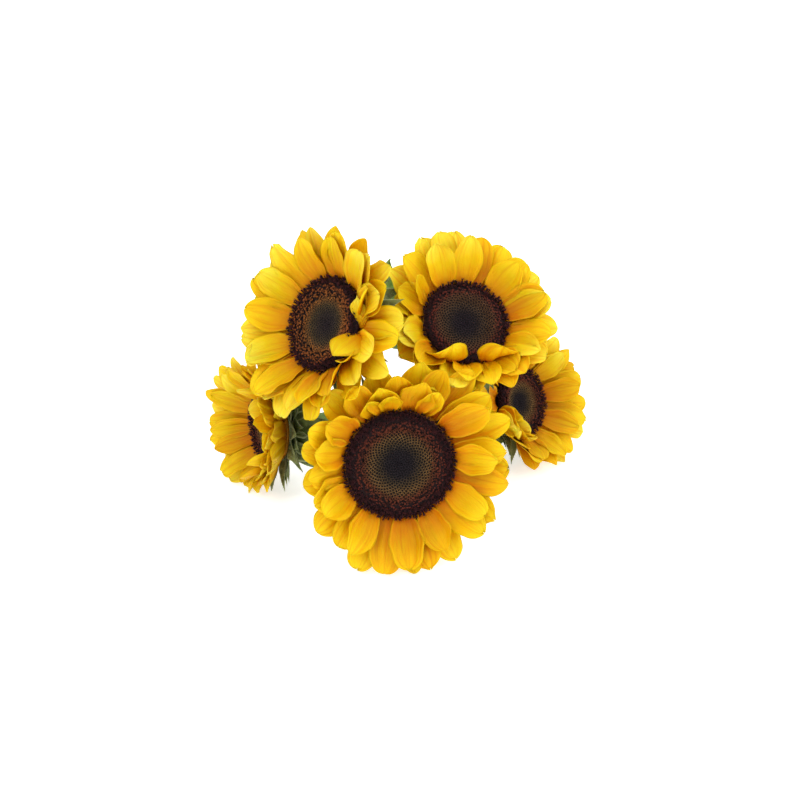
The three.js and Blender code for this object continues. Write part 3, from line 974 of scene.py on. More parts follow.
@dataclass(frozen=True)
class BractCut:
    """How a bract of the calyx is cut: broad low down and drawn out to a fine tip."""

    rows: int = 18
    columns: int = 8
    widest: float = 0.3
    thickness: float = 0.6
    keel: float = 0.5
    wave: float = 0.4

    def width_at(self, s: Array) -> Array:
        """Gives the share of the full width at shares of the length."""
        over = np.clip((s - self.widest) / (1 - self.widest), 0, 1)
        return np.where(s < self.widest, 0.75 + 0.25 * s / self.widest, np.maximum(0.03, (1 - over) ** 1.15))

    def cut(self, draft: Draft, blade: Blade, chance: np.random.Generator, slot: int) -> None:
        """Adds one bract to a draft.

        Args:
            draft: Where the bract goes.
            blade: The bract's own sizes.
            chance: Where its small differences come from.
            slot: The number of its material.
        """
        s, u = np.linspace(0, 1, self.rows + 1), np.linspace(-1, 1, self.columns + 1)
        keel = -self.keel * np.outer(1 - s, np.exp(-((u / 0.16) ** 2)))
        wave = self.wave * np.outer(np.sin(FULL_TURN * (1.3 * s + chance.uniform())), np.abs(u) ** 2)
        half = blade.width / 2 * self.width_at(s)
        points, facing = blade.surface(s, u, half, keel + wave, np.zeros((len(s), len(u))))
        draft.shell(points, points - facing * (self.thickness * (1 - 0.6 * s))[:, None, None], s, slot)


class Prototype:
    """One small mesh that Geometry Nodes repeat. Its own height is about one."""

    def __init__(self, shape: FloretShape) -> None:
        """Builds the mesh.

        Args:
            shape: Which shape it is.
        """
        self.draft = Draft()
        if shape is FloretShape.BUD:
            self.lathe(((0.42, 0.0), (0.5, 0.84), (0.485, 1.0), (0.42, 0.84), (0.34, 0.45), (0.0, 0.3)), 4)
        elif shape is FloretShape.OPEN:
            self.lathe(((0.16, 0.0), (0.2, 0.5), (0.26, 0.68), (0.12, 0.62), (0.0, 0.6)), 5)
            self.lobes(0.24, 0.26, 0.14)
            self.arms(0.26, 0.3)
        elif shape is FloretShape.SPIKY:
            self.lathe(((0.15, 0.0), (0.17, 0.5), (0.14, 0.7), (0.0, 0.72)), 5)
            self.lobes(0.13, 0.3, 0.34)
        else:
            self.needle(0.048)
        points = np.concatenate(self.draft.points)
        self.draft.remap(np.clip(points[:, 2] / points[:, 2].max(), 0, 1))
        self.object = bpy.data.objects.new(shape.value, self.draft.mesh(shape.value, points))

    def lathe(self, profile: Sequence[Pair], sides: int) -> None:
        """Adds a small turned body that is closed at its foot."""
        rings, (_, top) = turned(profile, sides)
        self.draft.rings(rings, (np.array([0, 0, profile[0][1]]), top))

    def wedge(self, points: Sequence[Array], faces: Sequence[tuple[int, int, int]]) -> None:
        """Adds a body of four points and four faces."""
        self.draft.add(np.array(points), np.array(faces), np.zeros((4, 3, 2)))

    def needle(self, radius: float) -> None:
        """Adds one pointed, three-sided hair."""
        foot = [radius * compass(turn)[0] for turn in (0, FULL_TURN / 3, -FULL_TURN / 3)]
        self.wedge([*foot, np.array([0, 0, 1])], ((0, 2, 1), (0, 1, 3), (1, 2, 3), (2, 0, 3)))

    def lobes(self, radius: float, out: float, up: float, mouth: float = 0.66, half: float = 0.13,
              count: int = 5) -> None:
        """Adds pointed lobes that spread from the mouth of a tube, each a thin closed wedge.

        Args:
            radius: How far from the axis they start.
            out: How far outward each reaches.
            up: How far up each reaches.
            mouth: The height at which they start.
            half: Half the width of each at its foot.
            count: How many lobes there are.
        """
        for k in range(count):
            outward, side = compass(FULL_TURN * (k + 0.5) / count)
            base = outward * radius + np.array([0, 0, mouth])
            under = base + outward * 0.05 - np.array([0, 0, 0.08])
            tip = base + outward * out + np.array([0, 0, up])
            self.wedge((base + side * half, base - side * half, under, tip),
                       ((1, 3, 0), (2, 3, 1), (0, 3, 2), (2, 1, 0)))

    def arms(self, reach: float, up: float, low: float = 0.55, thick: float = 0.055, count: int = 2) -> None:
        """Adds the style's arms, which rise from the mouth and curl outward.

        Args:
            reach: How far outward they end.
            up: How far above their start they end.
            low: The height at which they start.
            thick: About their radius.
            count: How many arms there are.
        """
        start = np.array([0, 0, low])
        for k in range(count):
            end = start + compass(FULL_TURN * (k + 0.2) / count)[0] * reach + np.array([0, 0, up])
            line = Path.bezier(start, start + np.array([0, 0, up + 0.1]), end)
            line.tube(self.draft, lambda share, _: thick * (1.1 - 0.6 * share), rows=2, sides=3)


class Growth(Sketch):
    """A Geometry Nodes tree that repeats a small shape over something, and is run once for each piece."""

    kinds: dict[str, str] = {"Geometry": "Geometry", "Florets": "Int", "Seed": "Int", "Shape": "Object",
                             "Finish": "Material"}

    def __init__(self, name: str, *inputs: str) -> None:
        """Starts a tree.

        Args:
            name: The tree's name.
            inputs: The names of its inputs. Those that kinds doesn't list take a number.
        """
        super().__init__(bpy.data.node_groups.new(name, "GeometryNodeTree"))
        for label in ("Geometry", *inputs, "Seed", "Shape", "Finish"):
            kind = f"NodeSocket{self.kinds.get(label, 'Float')}"
            self.tree.interface.new_socket(name=label, in_out="INPUT", socket_type=kind)
        self.tree.interface.new_socket(name="Geometry", in_out="OUTPUT", socket_type="NodeSocketGeometry")
        self.get = self.add("NodeGroupInput").other

    def repeat(self, points: Signal, lean: Signal, size: Signal, spin: Signal) -> None:
        """Ends the tree in real shapes with their material.

        Args:
            points: Where the shapes stand.
            lean: How each is turned there.
            size: How large each is.
            spin: How each is turned further, in its own axes.
        """
        shape = self.add("GeometryNodeObjectInfo", {"Object": self.get("Shape")}, "Geometry")
        feeds = {"Points": points, "Instance": shape, "Rotation": lean, "Scale": size}
        feeds = {"Instances": self.add("GeometryNodeInstanceOnPoints", feeds), "Rotation": spin}
        spun = self.add("GeometryNodeRotateInstances", {**feeds, "Local Space": True})
        real = self.add("GeometryNodeRealizeInstances", {"Geometry": spun})
        dressed = self.add("GeometryNodeSetMaterial", {"Geometry": real, "Material": self.get("Finish")})
        self.tree.links.new(dressed.socket, self.tree.nodes.new("NodeGroupOutput").inputs[0])

    def run(self, name: str, base: Mesh, values: dict[str, object]) -> Mesh:
        """Runs the tree once and gives its result as a plain mesh.

        Args:
            name: The new mesh's name.
            base: The mesh that goes in.
            values: The tree's inputs, by name.

        Returns:
            The finished mesh.
        """
        carrier = linked("carrier", base)
        modifier = carrier.modifiers.new("grow", "NODES")
        modifier.node_group = self.tree
        items = self.tree.interface.items_tree
        keys = {item.name: item.identifier for item in items if item.in_out == "INPUT"}
        for label, value in values.items():
            modifier[keys[label]] = value
        bpy.context.view_layer.update()
        graph = bpy.context.evaluated_depsgraph_get()
        grown = bpy.data.meshes.new_from_object(carrier.evaluated_get(graph), depsgraph=graph)
        carrier.modifiers.clear()
        bpy.data.objects.remove(carrier)
        grown.name = name
        return grown


class SpiralFlorets(Growth):
    """Lays florets out in the spirals of a sunflower's disc, in millimetres and in the disc's own axes."""

    hill: tuple[Pair, ...] = ((0.5, 0.5), (0.72, 0.89), (0.9, 1.0))
    hill_end: Pair = (1.0, 0.78)

    def __init__(self) -> None:
        """Draws the tree."""
        super().__init__("spiral_florets", "Disc radius", "First radius", "Florets", "Floret area",
                         "Height at the middle", "Rise to the crest", "Floret size", "Floret height", "Lean",
                         "Lean spread", "Size spread", "Spin", "Scatter")
        get, number = self.get, self.add("GeometryNodeInputIndex")
        seed, area, loose, vary = get("Seed"), get("Floret area"), get("Lean spread"), get("Size spread")
        first = get("First radius") * get("First radius")
        strewn = self.chance(get("Scatter") * -1.0, get("Scatter"), seed + 4.0, ID=number)
        radius = (first + number * area / math.pi).step("SQRT") + strewn
        angle = (number + (first * math.pi / area).step("FLOOR")) * GOLDEN_ANGLE
        share = radius / get("Disc radius")
        profile = self.add("ShaderNodeFloatCurve", {1: share})
        mapping = profile.socket.node.mapping
        for knot in self.hill:
            mapping.curves[0].points.new(*knot)
        mapping.curves[0].points[-1].location = self.hill_end
        mapping.update()
        height = get("Height at the middle") + profile * get("Rise to the crest")
        place = self.xyz(radius * angle.step("COSINE"), radius * angle.step("SINE"), height)
        points = self.add("GeometryNodePoints", {"Count": get("Florets"), "Position": place})
        for name, value in (("tint", self.chance(0.0, 1.0, seed)), ("share", share)):
            feeds = {"Geometry": points, "Name": name, "Value": value}
            points = self.add("GeometryNodeStoreNamedAttribute", feeds, data_type="FLOAT", domain="POINT")
        wobble = self.chance(loose * -1.0, loose, seed + 1.0)
        scale = self.chance(vary * -1.0 + 1.0, vary + 1.0, seed + 2.0)
        wide, tall = get("Floret size") * scale, get("Floret height") * scale
        spin = self.chance((0.0, 0.0, 0.0), self.xyz(0.0, 0.0, get("Spin")), seed + 3.0, True)
        lean = self.xyz(wobble, get("Lean") * share + wobble, angle)
        self.repeat(points, lean, self.xyz(wide, wide, tall), spin)


class SkinHairs(Growth):
    """Stands hairs on a piece's skin, in metres, wherever it is clear of the floor by their length."""

    def __init__(self) -> None:
        """Draws the tree."""
        super().__init__("skin_hairs", "Hairs per square metre", "Hair length", "Tilt")
        seed, length, tilt = self.get("Seed"), self.get("Hair length"), self.get("Tilt")
        level = self.add("ShaderNodeSeparateXYZ", {0: self.add("GeometryNodeInputPosition")}, 2)
        clear = self.add("FunctionNodeCompare", {0: level, 1: length}, operation="GREATER_THAN")
        feeds = {"Mesh": self.get("Geometry"), "Density": self.get("Hairs per square metre"), "Seed": seed,
                 "Selection": clear}
        points = self.add("GeometryNodeDistributePointsOnFaces", feeds, distribute_method="RANDOM")
        least = tilt * -1.0
        spin = self.chance(self.xyz(least, least, 0.0), self.xyz(tilt, tilt, FULL_TURN), seed + 1.0, True)
        self.repeat(points, points.other("Rotation"), self.chance(length * 0.5, length, seed + 2.0), spin)


def present(piece: Object, slot: Slot, *nodes: str) -> None:
    """Fixes a finished piece to the part and reports it.

    Args:
        piece: The finished piece.
        slot: Not used.
        nodes: The solids that it stands for.
    """
    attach(piece, "root")
    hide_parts(*nodes)
    LOG.info("%s: %d faces", piece.name, len(piece.data.polygons))


@dataclass(frozen=True)
class Hairs:
    """How hairs stand on a skin: how many to a square centimetre, how long, and tilted by how much."""

    per_square_cm: float
    length: float
    tilt: float


class Workshop:
    """What every part is made with: materials, and small shapes with the trees that repeat them."""

    def __init__(self) -> None:
        """Makes them all."""
        self.finishes = Finishes()
        self.shapes = {shape: Prototype(shape).object for shape in FloretShape}
        self.spirals, self.skins = SpiralFlorets(), SkinHairs()

    def florets(self, name: str, place: Matrix, shape: FloretShape, values: dict[str, object]) -> Object:
        """Makes a piece of florets on one disc.

        Args:
            name: The piece's name.
            place: The head's place and turn, in the ground's axes.
            shape: Which floret is repeated.
            values: The tree's other inputs, by name.

        Returns:
            The piece.
        """
        base, values = bpy.data.meshes.new("disc_seed"), {**values, "Shape": self.shapes[shape]}
        mesh = self.spirals.run(name, base, values)
        mesh.transform(Matrix.Scale(METRES, 4) @ Matrix.Translation(-Vector(LAYOUT.box_middle)) @ place)
        return linked(name, mesh)

    def haired(self, skin: Object, slot: Slot, node: str, name: str, hairs: Hairs, seed: int) -> None:
        """Presents a piece and then the hairs that stand on it.

        Args:
            skin: The piece.
            slot: The record's slot, passed on to present.
            node: The solid that both stand for.
            name: The name of the piece of hairs.
            hairs: How they stand.
            seed: What their places are drawn from.
        """
        present(skin, slot, node)
        mesh = self.skins.run(name, skin.data, {
            "Hairs per square metre": hairs.per_square_cm * 1e4, "Hair length": hairs.length * METRES,
            "Tilt": math.radians(hairs.tilt), "Seed": seed, "Shape": self.shapes[FloretShape.HAIR],
            "Finish": self.finishes.hair,
        })
        present(linked(name, mesh), slot, node)


@dataclass
class MainStem:
    """The cut main stem, which lies on the floor and forks at its tip."""

    points: tuple[Triple, ...] = ((56, 171, 8.3), (44, 128, 8.6), (28, 66, 10.4), (9, 8, 15.5))
    cut_radius: float = 8.2
    tip_radius: float = 6.2
    pith: float = 0.8
    pith_gaps: Pair = (0.04, 0.01)
    ribs: int = 11
    rib_height: float = 0.22
    bristles: Hairs = Hairs(26, 1.9, 22)

    def __post_init__(self) -> None:
        """Draws the stem's line."""
        self.path = Path.through(self.points)

    def radius(self, share: Array, angle: Array) -> Array:
        """Gives the ribbed radius.

        Args:
            share: How far along, from 0 to 1.
            angle: How far around.

        Returns:
            The radius there.
        """
        plain = self.cut_radius + (self.tip_radius - self.cut_radius) * share
        uneven = 0.16 * np.sin(9 * share + 2 * angle) + 0.12 * np.sin(23 * share - angle)
        ribbed = plain - self.rib_height + self.rib_height * np.cos(self.ribs * angle + 4 * share)
        return ribbed + uneven * 0.5

    def build(self, shop: Workshop) -> None:
        """Builds the stem with its pale cut face and its bristles.

        Args:
            shop: What it is made with.
        """
        draft = Draft()
        self.path.tube(draft, self.radius, rows=120, sides=44)
        start, heading = self.path.at(0.0), self.path.heading(0.0)
        face = Path(np.array([start - heading * gap for gap in self.pith_gaps]))

        def uneven(_: Array, angle: Array) -> Array:
            """Gives the radius of the pith at an angle."""
            return self.cut_radius * self.pith + 0.1 * np.sin(7 * angle)

        face.tube(draft, uneven, rows=1, sides=40, slot=1)
        stem = draft.piece("cut_main_stem", shop.finishes.stem, shop.finishes.pith)
        shop.haired(stem, Slot.STEM, "main_stem", "main_stem_bristles", self.bristles, 5)


@dataclass(frozen=True)
class Row:
    """One row of petals or bracts.

    It is shifted round by a phase, its blades are so long beside the head's size for them, they rise and
    bend by so many degrees, and they start at a height. The last three are shares of the head's number of
    petals, of the disc's radius and of the bracts' width.
    """

    phase: float
    long: float
    rise: float
    bend: float
    height: float
    share: float = 1.0
    radius: float = 1.0
    broad: float = 1.0


@dataclass(frozen=True)
class Belt:
    """One belt of florets on a disc: their shape, how densely they stand, their size and how they stand."""

    label: str
    shape: FloretShape
    area: float
    size: float
    tall: float
    lean: float
    loose: float
    spin: float = FULL_TURN
    strewn: float = 0.0

    def values(self, disc: float, low: float, high: float) -> dict[str, object]:
        """Gives the inputs of the tree of spirals that are the belt's own.

        Args:
            disc: The disc's radius.
            low: The share of it where the belt starts.
            high: The share where it ends.

        Returns:
            The inputs, by name.
        """
        count = int(math.pi * ((disc * high) ** 2 - (disc * low) ** 2) / self.area)
        return {"Disc radius": disc, "First radius": disc * low, "Florets": count, "Floret area": self.area,
                "Floret size": self.size, "Floret height": self.tall, "Lean": self.lean, "Spin": self.spin,
                "Lean spread": self.loose, "Size spread": 0.02 + 0.7 * self.loose, "Scatter": self.strewn}


@dataclass
class FlowerHead:
    """One open head on its stalk: three rows of petals and some curled ones, a floreted disc and a calyx."""

    name: str
    across: float
    up: float
    toward: float
    turn: float
    lift: float
    disc: float
    petal: float
    width: float
    petals: int
    cup: float
    seed: int
    node: float
    bracts: float
    crowding: tuple[Push, ...]
    curled: tuple[Blade, ...]
    bloom: Bloom = Bloom.GOLDEN
    tints: Triple = (0.45, 0.35, 0.2)
    petal_rows: tuple[Row, ...] = (
        Row(0.0, 1.0, 2.0, -14.0, -4.5), Row(0.5, 0.94, 9.0, -8.0, -2.6),
        Row(0.3, 0.86, 16.0, -6.0, -1.6, 0.85),
    )
    bract_rows: tuple[Row, ...] = (
        Row(0.0, 0.8, -34.0, 4, -11.7, radius=0.72), Row(0.5, 0.9, -22.0, 4, -9.5, radius=0.84),
        Row(0.25, 0.72, -28.0, 4, -10.6, radius=0.78, broad=0.7),
    )
    belts: tuple[Belt, ...] = (
        Belt("mesh_buds", FloretShape.BUD, 1.7**2, 1.36 * 1.7, 1.5, 0.1, 0.02, 0.0),
        Belt("tipped_florets", FloretShape.OPEN, 1.95**2 * 0.42, 1.42, 2.1, 0.3, 0.24, strewn=1.3),
        Belt("rim_florets", FloretShape.SPIKY, 1.95**2 * 0.42, 1.8, 2.8, 0.7, 0.6, strewn=0.9),
    )
    reflexed: int = 0
    pressed_bracts: int = 11
    bracts_per_row: int = 8
    bract_width: float = 11.0
    bract_fold: float = 26.0
    bract_droop: float = 22.0
    least_slope: float = -24.0
    crest: float = 3.2
    rise: float = 5.6
    sunk: float = 1.3
    foot: float = -6.3
    ledge: float = -0.9
    ring_top: float = -3.6
    calyx_top: float = -6.6
    calyx_neck: float = -24.0
    neck_radius: float = 5.4
    stalk_radius: float = 4.6
    sides: int = 72
    cup_ribs: int = 24
    bract_hairs: Hairs = Hairs(22, 1.5, 40)
    bristles: Hairs = Hairs(34, 1.6, 22)

    def place(self) -> Matrix:
        """Gives the head's place and turn.

        Returns:
            Its axes in the ground's: z is the way it faces, and y is up for a viewer.
        """
        lift, turn = math.radians(self.lift), math.radians(self.turn)
        level = math.cos(lift)
        facing = LAYOUT.shift(math.sin(turn) * level, math.sin(lift), math.cos(turn) * level)
        right = unit(np.cross(LAYOUT.shift(0, 1, 0), facing))
        axes = (right, np.cross(facing, right), facing, LAYOUT.place(self.across, self.up, self.toward))
        return Matrix([[axis[k] for axis in axes] for k in range(3)] + [[0, 0, 0, 1]])

    def pressed(self, azimuth: float) -> Triple:
        """Gives what the neighbours do to a petal.

        Args:
            azimuth: Where the petal leaves the disc.

        Returns:
            How far they raise, bend and shorten it.
        """
        rise = bend = shorter = 0.0
        for push in self.crowding:
            apart = ((azimuth - push.azimuth) % 360 + 540) % 360 - 180
            weight = math.exp(-((apart / push.spread) ** 2))
            rise += weight * push.rise
            bend += weight * push.bend
            shorter += weight * push.shorter
        return rise, bend, shorter

    def petal_blades(self) -> list[Blade]:
        """Lists the petals of the lower, the upper and the short cupped row, and then the curled ones.

        Returns:
            The petals. Each number that is drawn from the stream keeps its turn.
        """
        stream, edge, blades = Stream(self.seed), self.disc + 0.4, []
        for row in self.petal_rows:
            for azimuth in stream.turns(round(self.petals * row.share), 0.36, row.phase):
                raised, bent, shorter = self.pressed(azimuth)
                blades.append(Blade(
                    azimuth,
                    length=self.petal * (row.long + stream.around(0.14)) * (1 - shorter),
                    width=self.width * (1 + stream.around(0.18)),
                    rise=self.cup + row.rise + stream.around(7) + raised,
                    bend=row.bend + stream.around(16) + bent,
                    sway=stream.around(16),
                    twist=stream.around(26),
                    fold=18 + 16 * stream.draw() + 80 * (1 - row.share),
                    point=0.36 + 0.4 * stream.draw(),
                    ruffled=1.0,
                    root=(edge, row.height),
                ))
        return blades + [replace(curl, root=(edge, self.petal_rows[1].height)) for curl in self.curled]

    def bract_blades(self) -> list[Blade]:
        """Lists the bracts of the calyx: the reflexed ones, those pressed to the petals, and the rows.

        Returns:
            The bracts. Each number that is drawn from the stream keeps its turn.
        """
        stream, blades = Stream(self.seed + 500), []
        for azimuth in stream.turns(self.reflexed, 0.4):
            blades.append(Blade(
                azimuth,
                length=self.disc * (1.15 + stream.around(0.3)),
                width=self.bract_width * 1.35,
                rise=-34 + stream.around(16),
                bend=-26 + stream.around(30),
                sway=stream.around(30),
                twist=stream.around(30),
                fold=self.bract_fold,
                root=(self.disc * 0.62, -13),
            ))
        for azimuth in stream.turns(self.pressed_bracts, 0.4):
            raised, bent, _ = self.pressed(azimuth)
            blades.append(Blade(
                azimuth,
                length=self.petal * (0.62 + stream.around(0.16)),
                width=self.bract_width * 1.1,
                rise=self.cup - 14 + stream.around(8) + min(0.0, raised),
                bend=-14 + min(0.0, bent) + stream.around(14),
                sway=stream.around(20),
                twist=stream.around(20),
                fold=self.bract_fold,
                root=(self.disc * 0.97, -7.6),
            ))
        for row in self.bract_rows:
            for azimuth in stream.turns(self.bracts_per_row, 0.3, row.phase):
                raised, bent, _ = self.pressed(azimuth)
                blades.append(Blade(
                    azimuth,
                    length=self.disc * self.bracts * (row.long + stream.around(0.2)),
                    width=self.bract_width * row.broad * (1 + stream.around(0.16)),
                    rise=max(self.least_slope, self.cup + row.rise + stream.around(8) + 0.8 * raised),
                    bend=row.bend - self.bract_droop * stream.draw() + min(0.0, bent),
                    sway=stream.around(24),
                    twist=stream.around(20),
                    fold=self.bract_fold,
                    root=(self.disc * row.radius, row.height),
                ))
        return blades

    def build_petals(self, shop: Workshop) -> None:
        """Builds the petals and the ring that they spring from.

        Args:
            shop: What they are made with.
        """
        draft, chance, cut = Draft(self.place()), np.random.default_rng(self.seed), PetalCut()
        for blade in self.petal_blades():
            cut.cut(draft, blade, chance, int(chance.choice((0, 1, 2), p=self.tints)))
        inside, outside, low, top = self.disc - 2.9, self.disc + 1.2, self.foot, self.ring_top
        profile = ((inside, low), (outside - 0.8, low), (outside, top), (inside, top), (inside, low))
        draft.rings(turned(profile, self.sides)[0], slot=len(shop.finishes.petals))
        piece = draft.piece(f"{self.name}_ray_petals", *shop.finishes.petals, shop.finishes.ring)
        present(piece, Slot.PETAL, f"{self.name}_petals")

    def build_disc(self, shop: Workshop) -> None:
        """Builds the disc: its bed, the closed buds in spirals and the open florets round them.

        Args:
            shop: What it is made with.
        """
        node, place, r, crest = f"{self.name}_disc", self.place(), self.disc, self.crest
        hill = smoothed(((0.0, crest - self.rise), (r * 0.5, crest - 2.8), (r * 0.72, crest - 0.6),
                         (r * 0.9, crest), (r - 0.4, crest - 1.4)), 8)
        side = ((0.0, self.foot), (r - 3.2, self.foot), (r - 3.2, self.ledge), (r - 0.4, self.ledge))
        top = ((radius, height - self.sunk) for radius, height in reversed(hill))
        rings, poles = turned((*side, *top), self.sides)
        draft = Draft(place)
        draft.rings(rings, poles)
        draft.remap(np.append(np.linalg.norm(rings[..., :2], axis=-1).ravel() / r, [0.0, 0.0]))
        present(draft.piece(f"{self.name}_floret_bed", shop.finishes.bed), Slot.FLORET, node)
        rust_from, dark_from = BELTS[self.bloom]
        shares = ((0.0, rust_from + 0.05), (rust_from, dark_from), (dark_from, 1.02))
        finishes = (shop.finishes.buds[self.bloom], shop.finishes.tipped[self.bloom], shop.finishes.maroon)
        for k, (belt, (low, high), finish) in enumerate(zip(self.belts, shares, finishes)):
            values = {**belt.values(r, low, high), "Height at the middle": crest - self.rise - self.sunk,
                      "Rise to the crest": self.rise, "Seed": self.seed * 10 + k, "Finish": finish}
            piece = shop.florets(f"{self.name}_{belt.label}", place, belt.shape, values)
            present(piece, Slot.FLORET, node)

    def build_calyx(self, shop: Workshop) -> None:
        """Builds the green cup behind the petals, its bracts and their hairs.

        Args:
            shop: What it is made with.
        """
        r, top, neck, thin = self.disc, self.calyx_top, self.calyx_neck, self.neck_radius
        cup = smoothed(((thin, neck), (thin * 1.25, neck + 4), (r * 0.5, neck + 9.5), (r * 0.86, top - 4.4),
                        (r + 1.4, top)), 6)
        rings, poles = turned([(0.0, neck), *cup, (0.0, top)], 4 * self.cup_ribs)
        ribbed = 1 + 0.012 * np.cos(self.cup_ribs * spokes(4 * self.cup_ribs))
        rings[..., :2] *= ribbed[None, :, None]
        draft, chance, cut = Draft(self.place()), np.random.default_rng(self.seed + 900), BractCut()
        draft.rings(rings, poles)
        for blade in self.bract_blades():
            cut.cut(draft, blade, chance, 1)
        calyx = draft.piece(f"{self.name}_cup_and_bracts", shop.finishes.calyx, shop.finishes.bract)
        node, name = f"{self.name}_calyx", f"{self.name}_bract_hairs"
        shop.haired(calyx, Slot.CALYX, node, name, self.bract_hairs, self.seed)

    def stalk_path(self, stem: MainStem) -> Path:
        """Draws the stalk's line.

        Args:
            stem: The main stem, which it leaves at the head's node.

        Returns:
            The line from there to the neck of the head.
        """
        place = self.place()
        facing = np.array(place)[:3, 2]
        neck = placed(np.array([0, 0, self.calyx_neck - CLEARANCE]), place)
        heading, start = stem.path.heading(self.node), stem.path.at(self.node)
        if self.node == 1:
            start = start + heading * CLEARANCE
        reach = float(np.linalg.norm(neck - start)) * 0.36
        if self.node != 1:
            heading = heading * 0.4 + unit(neck - start) + np.array([0, 0, 0.3])
        return Path.bezier(start, start + unit(heading) * reach, neck - facing * reach, neck)

    def build_stalk(self, stem: MainStem, shop: Workshop) -> Path:
        """Builds the stalk, swollen where it leaves the stem, and its bristles.

        Args:
            stem: The main stem.
            shop: What the stalk is made with.

        Returns:
            The stalk's line, for a leaf to stand on.
        """
        path, draft, thin = self.stalk_path(stem), Draft(), self.stalk_radius
        foot, swelling = (stem.tip_radius, 0.0) if self.node == 1 else (thin, 0.9)

        def radius(share: Array, angle: Array) -> Array:
            """Gives the ribbed radius.

            Args:
                share: How far along, from 0 to 1.
                angle: How far around.

            Returns:
                The radius there.
            """
            plain = foot + (thin - foot) * np.minimum(1, 1.6 * share)
            swollen = plain + swelling * np.exp(-((share * path.length / 9) ** 2))
            ribbed = swollen - 0.14 + 0.14 * np.cos(9 * angle + 3 * share)
            return ribbed + 0.08 * np.sin(31 * share + angle)

        path.tube(draft, radius, rows=90, sides=36)
        stalk = draft.piece(f"{self.name}_ribbed_stalk", shop.finishes.stem)
        node, name = f"{self.name}_stalk", f"{self.name}_stalk_bristles"
        shop.haired(stalk, Slot.STEM, node, name, self.bristles, self.seed + 3)
        return path


@dataclass
class Leaf:
    """One leaf with its petiole and veins."""

    name: str
    on: str
    at: float
    knee: Triple
    tip: Triple
    side: Triple
    petiole: float
    width: float
    fold: float = 16.0
    widest: float = 0.26
    teeth: int = 17
    veins: int = 13
    rows: int = 85
    columns: int = 24
    thickness: float = 0.5
    plain_width: float = 56.0
    hairs: Hairs = Hairs(9, 0.9, 40)

    def width_at(self, s: Array) -> Array:
        """Gives the outline: heart-shaped at the foot, toothed, and pointed at the tip.

        Args:
            s: Shares of the length.

        Returns:
            The share of the full width at each.
        """
        over = np.clip((s - self.widest) / (1 - self.widest), 0, 1)
        plain = np.where(s < self.widest, 0.3 + 0.7 * np.sin(math.pi / 2 * s / self.widest),
                         np.maximum(0.03, (1 - over**1.5) ** 0.9))
        saw = (s * self.teeth) % 1.0
        return plain * (1 + 0.05 * (saw - 0.5) * np.clip(s * 8, 0, 1))

    def build(self, host: Path, shop: Workshop) -> None:
        """Builds the leaf on the limb that bears it.

        Args:
            host: The line of that limb.
            shop: What the leaf is made with.
        """
        midrib = Path.bezier(host.at(self.at), np.array(self.knee, float), np.array(self.tip, float))
        s, u = np.linspace(0, 1, self.rows + 1), np.linspace(-1, 1, self.columns + 1)
        shares, side = self.petiole + (1 - self.petiole) * s, np.array(self.side, float)
        line, heading = midrib.at(shares), midrib.heading(shares)
        across = unit(side - heading * (heading @ side)[:, None])
        face = np.cross(heading, across)
        half, fold = (self.width / 2 * self.width_at(s))[:, None], math.radians(self.fold)
        scale = self.width / self.plain_width
        along, off = s[:, None], np.abs(u)[None, :]
        reach = half * u[None, :] * math.cos(fold)
        raised = half * off * math.sin(fold)
        ribs = np.abs(np.sin(math.pi * self.veins * (along - 0.25 * off)))
        quilt = 0.7 * scale * (ribs - 0.6) * (1 - off**4) * off**0.5
        sag = 1.8 * scale * np.sin(FULL_TURN * (1.6 * along + 0.2 * u[None, :])) * off**2
        lift = raised + quilt + sag * np.clip(along * 3, 0, 1)
        top = line[:, None] + across[:, None] * reach[..., None] + face[:, None] * lift[..., None]
        draft = Draft()
        draft.shell(top, top - face[:, None] * self.thickness, s)

        def radius(share: Array, _: Array) -> Array:
            """Gives the radius of the petiole and midrib at a share along."""
            return 2.2 - 1.6 * share - 0.3 * np.sin(math.pi * share)

        midrib.tube(draft, radius, rows=60, sides=12, slot=1)
        piece = draft.piece(f"{self.name}_veined_blade", shop.finishes.leaf, shop.finishes.stem)
        shop.haired(piece, Slot.LEAF, self.name, f"{self.name}_hairs", self.hairs, 7)


@dataclass(frozen=True)
class Lamp:
    """One soft square lamp, with its place in metres."""

    name: str
    place: Triple
    size: float
    power: float


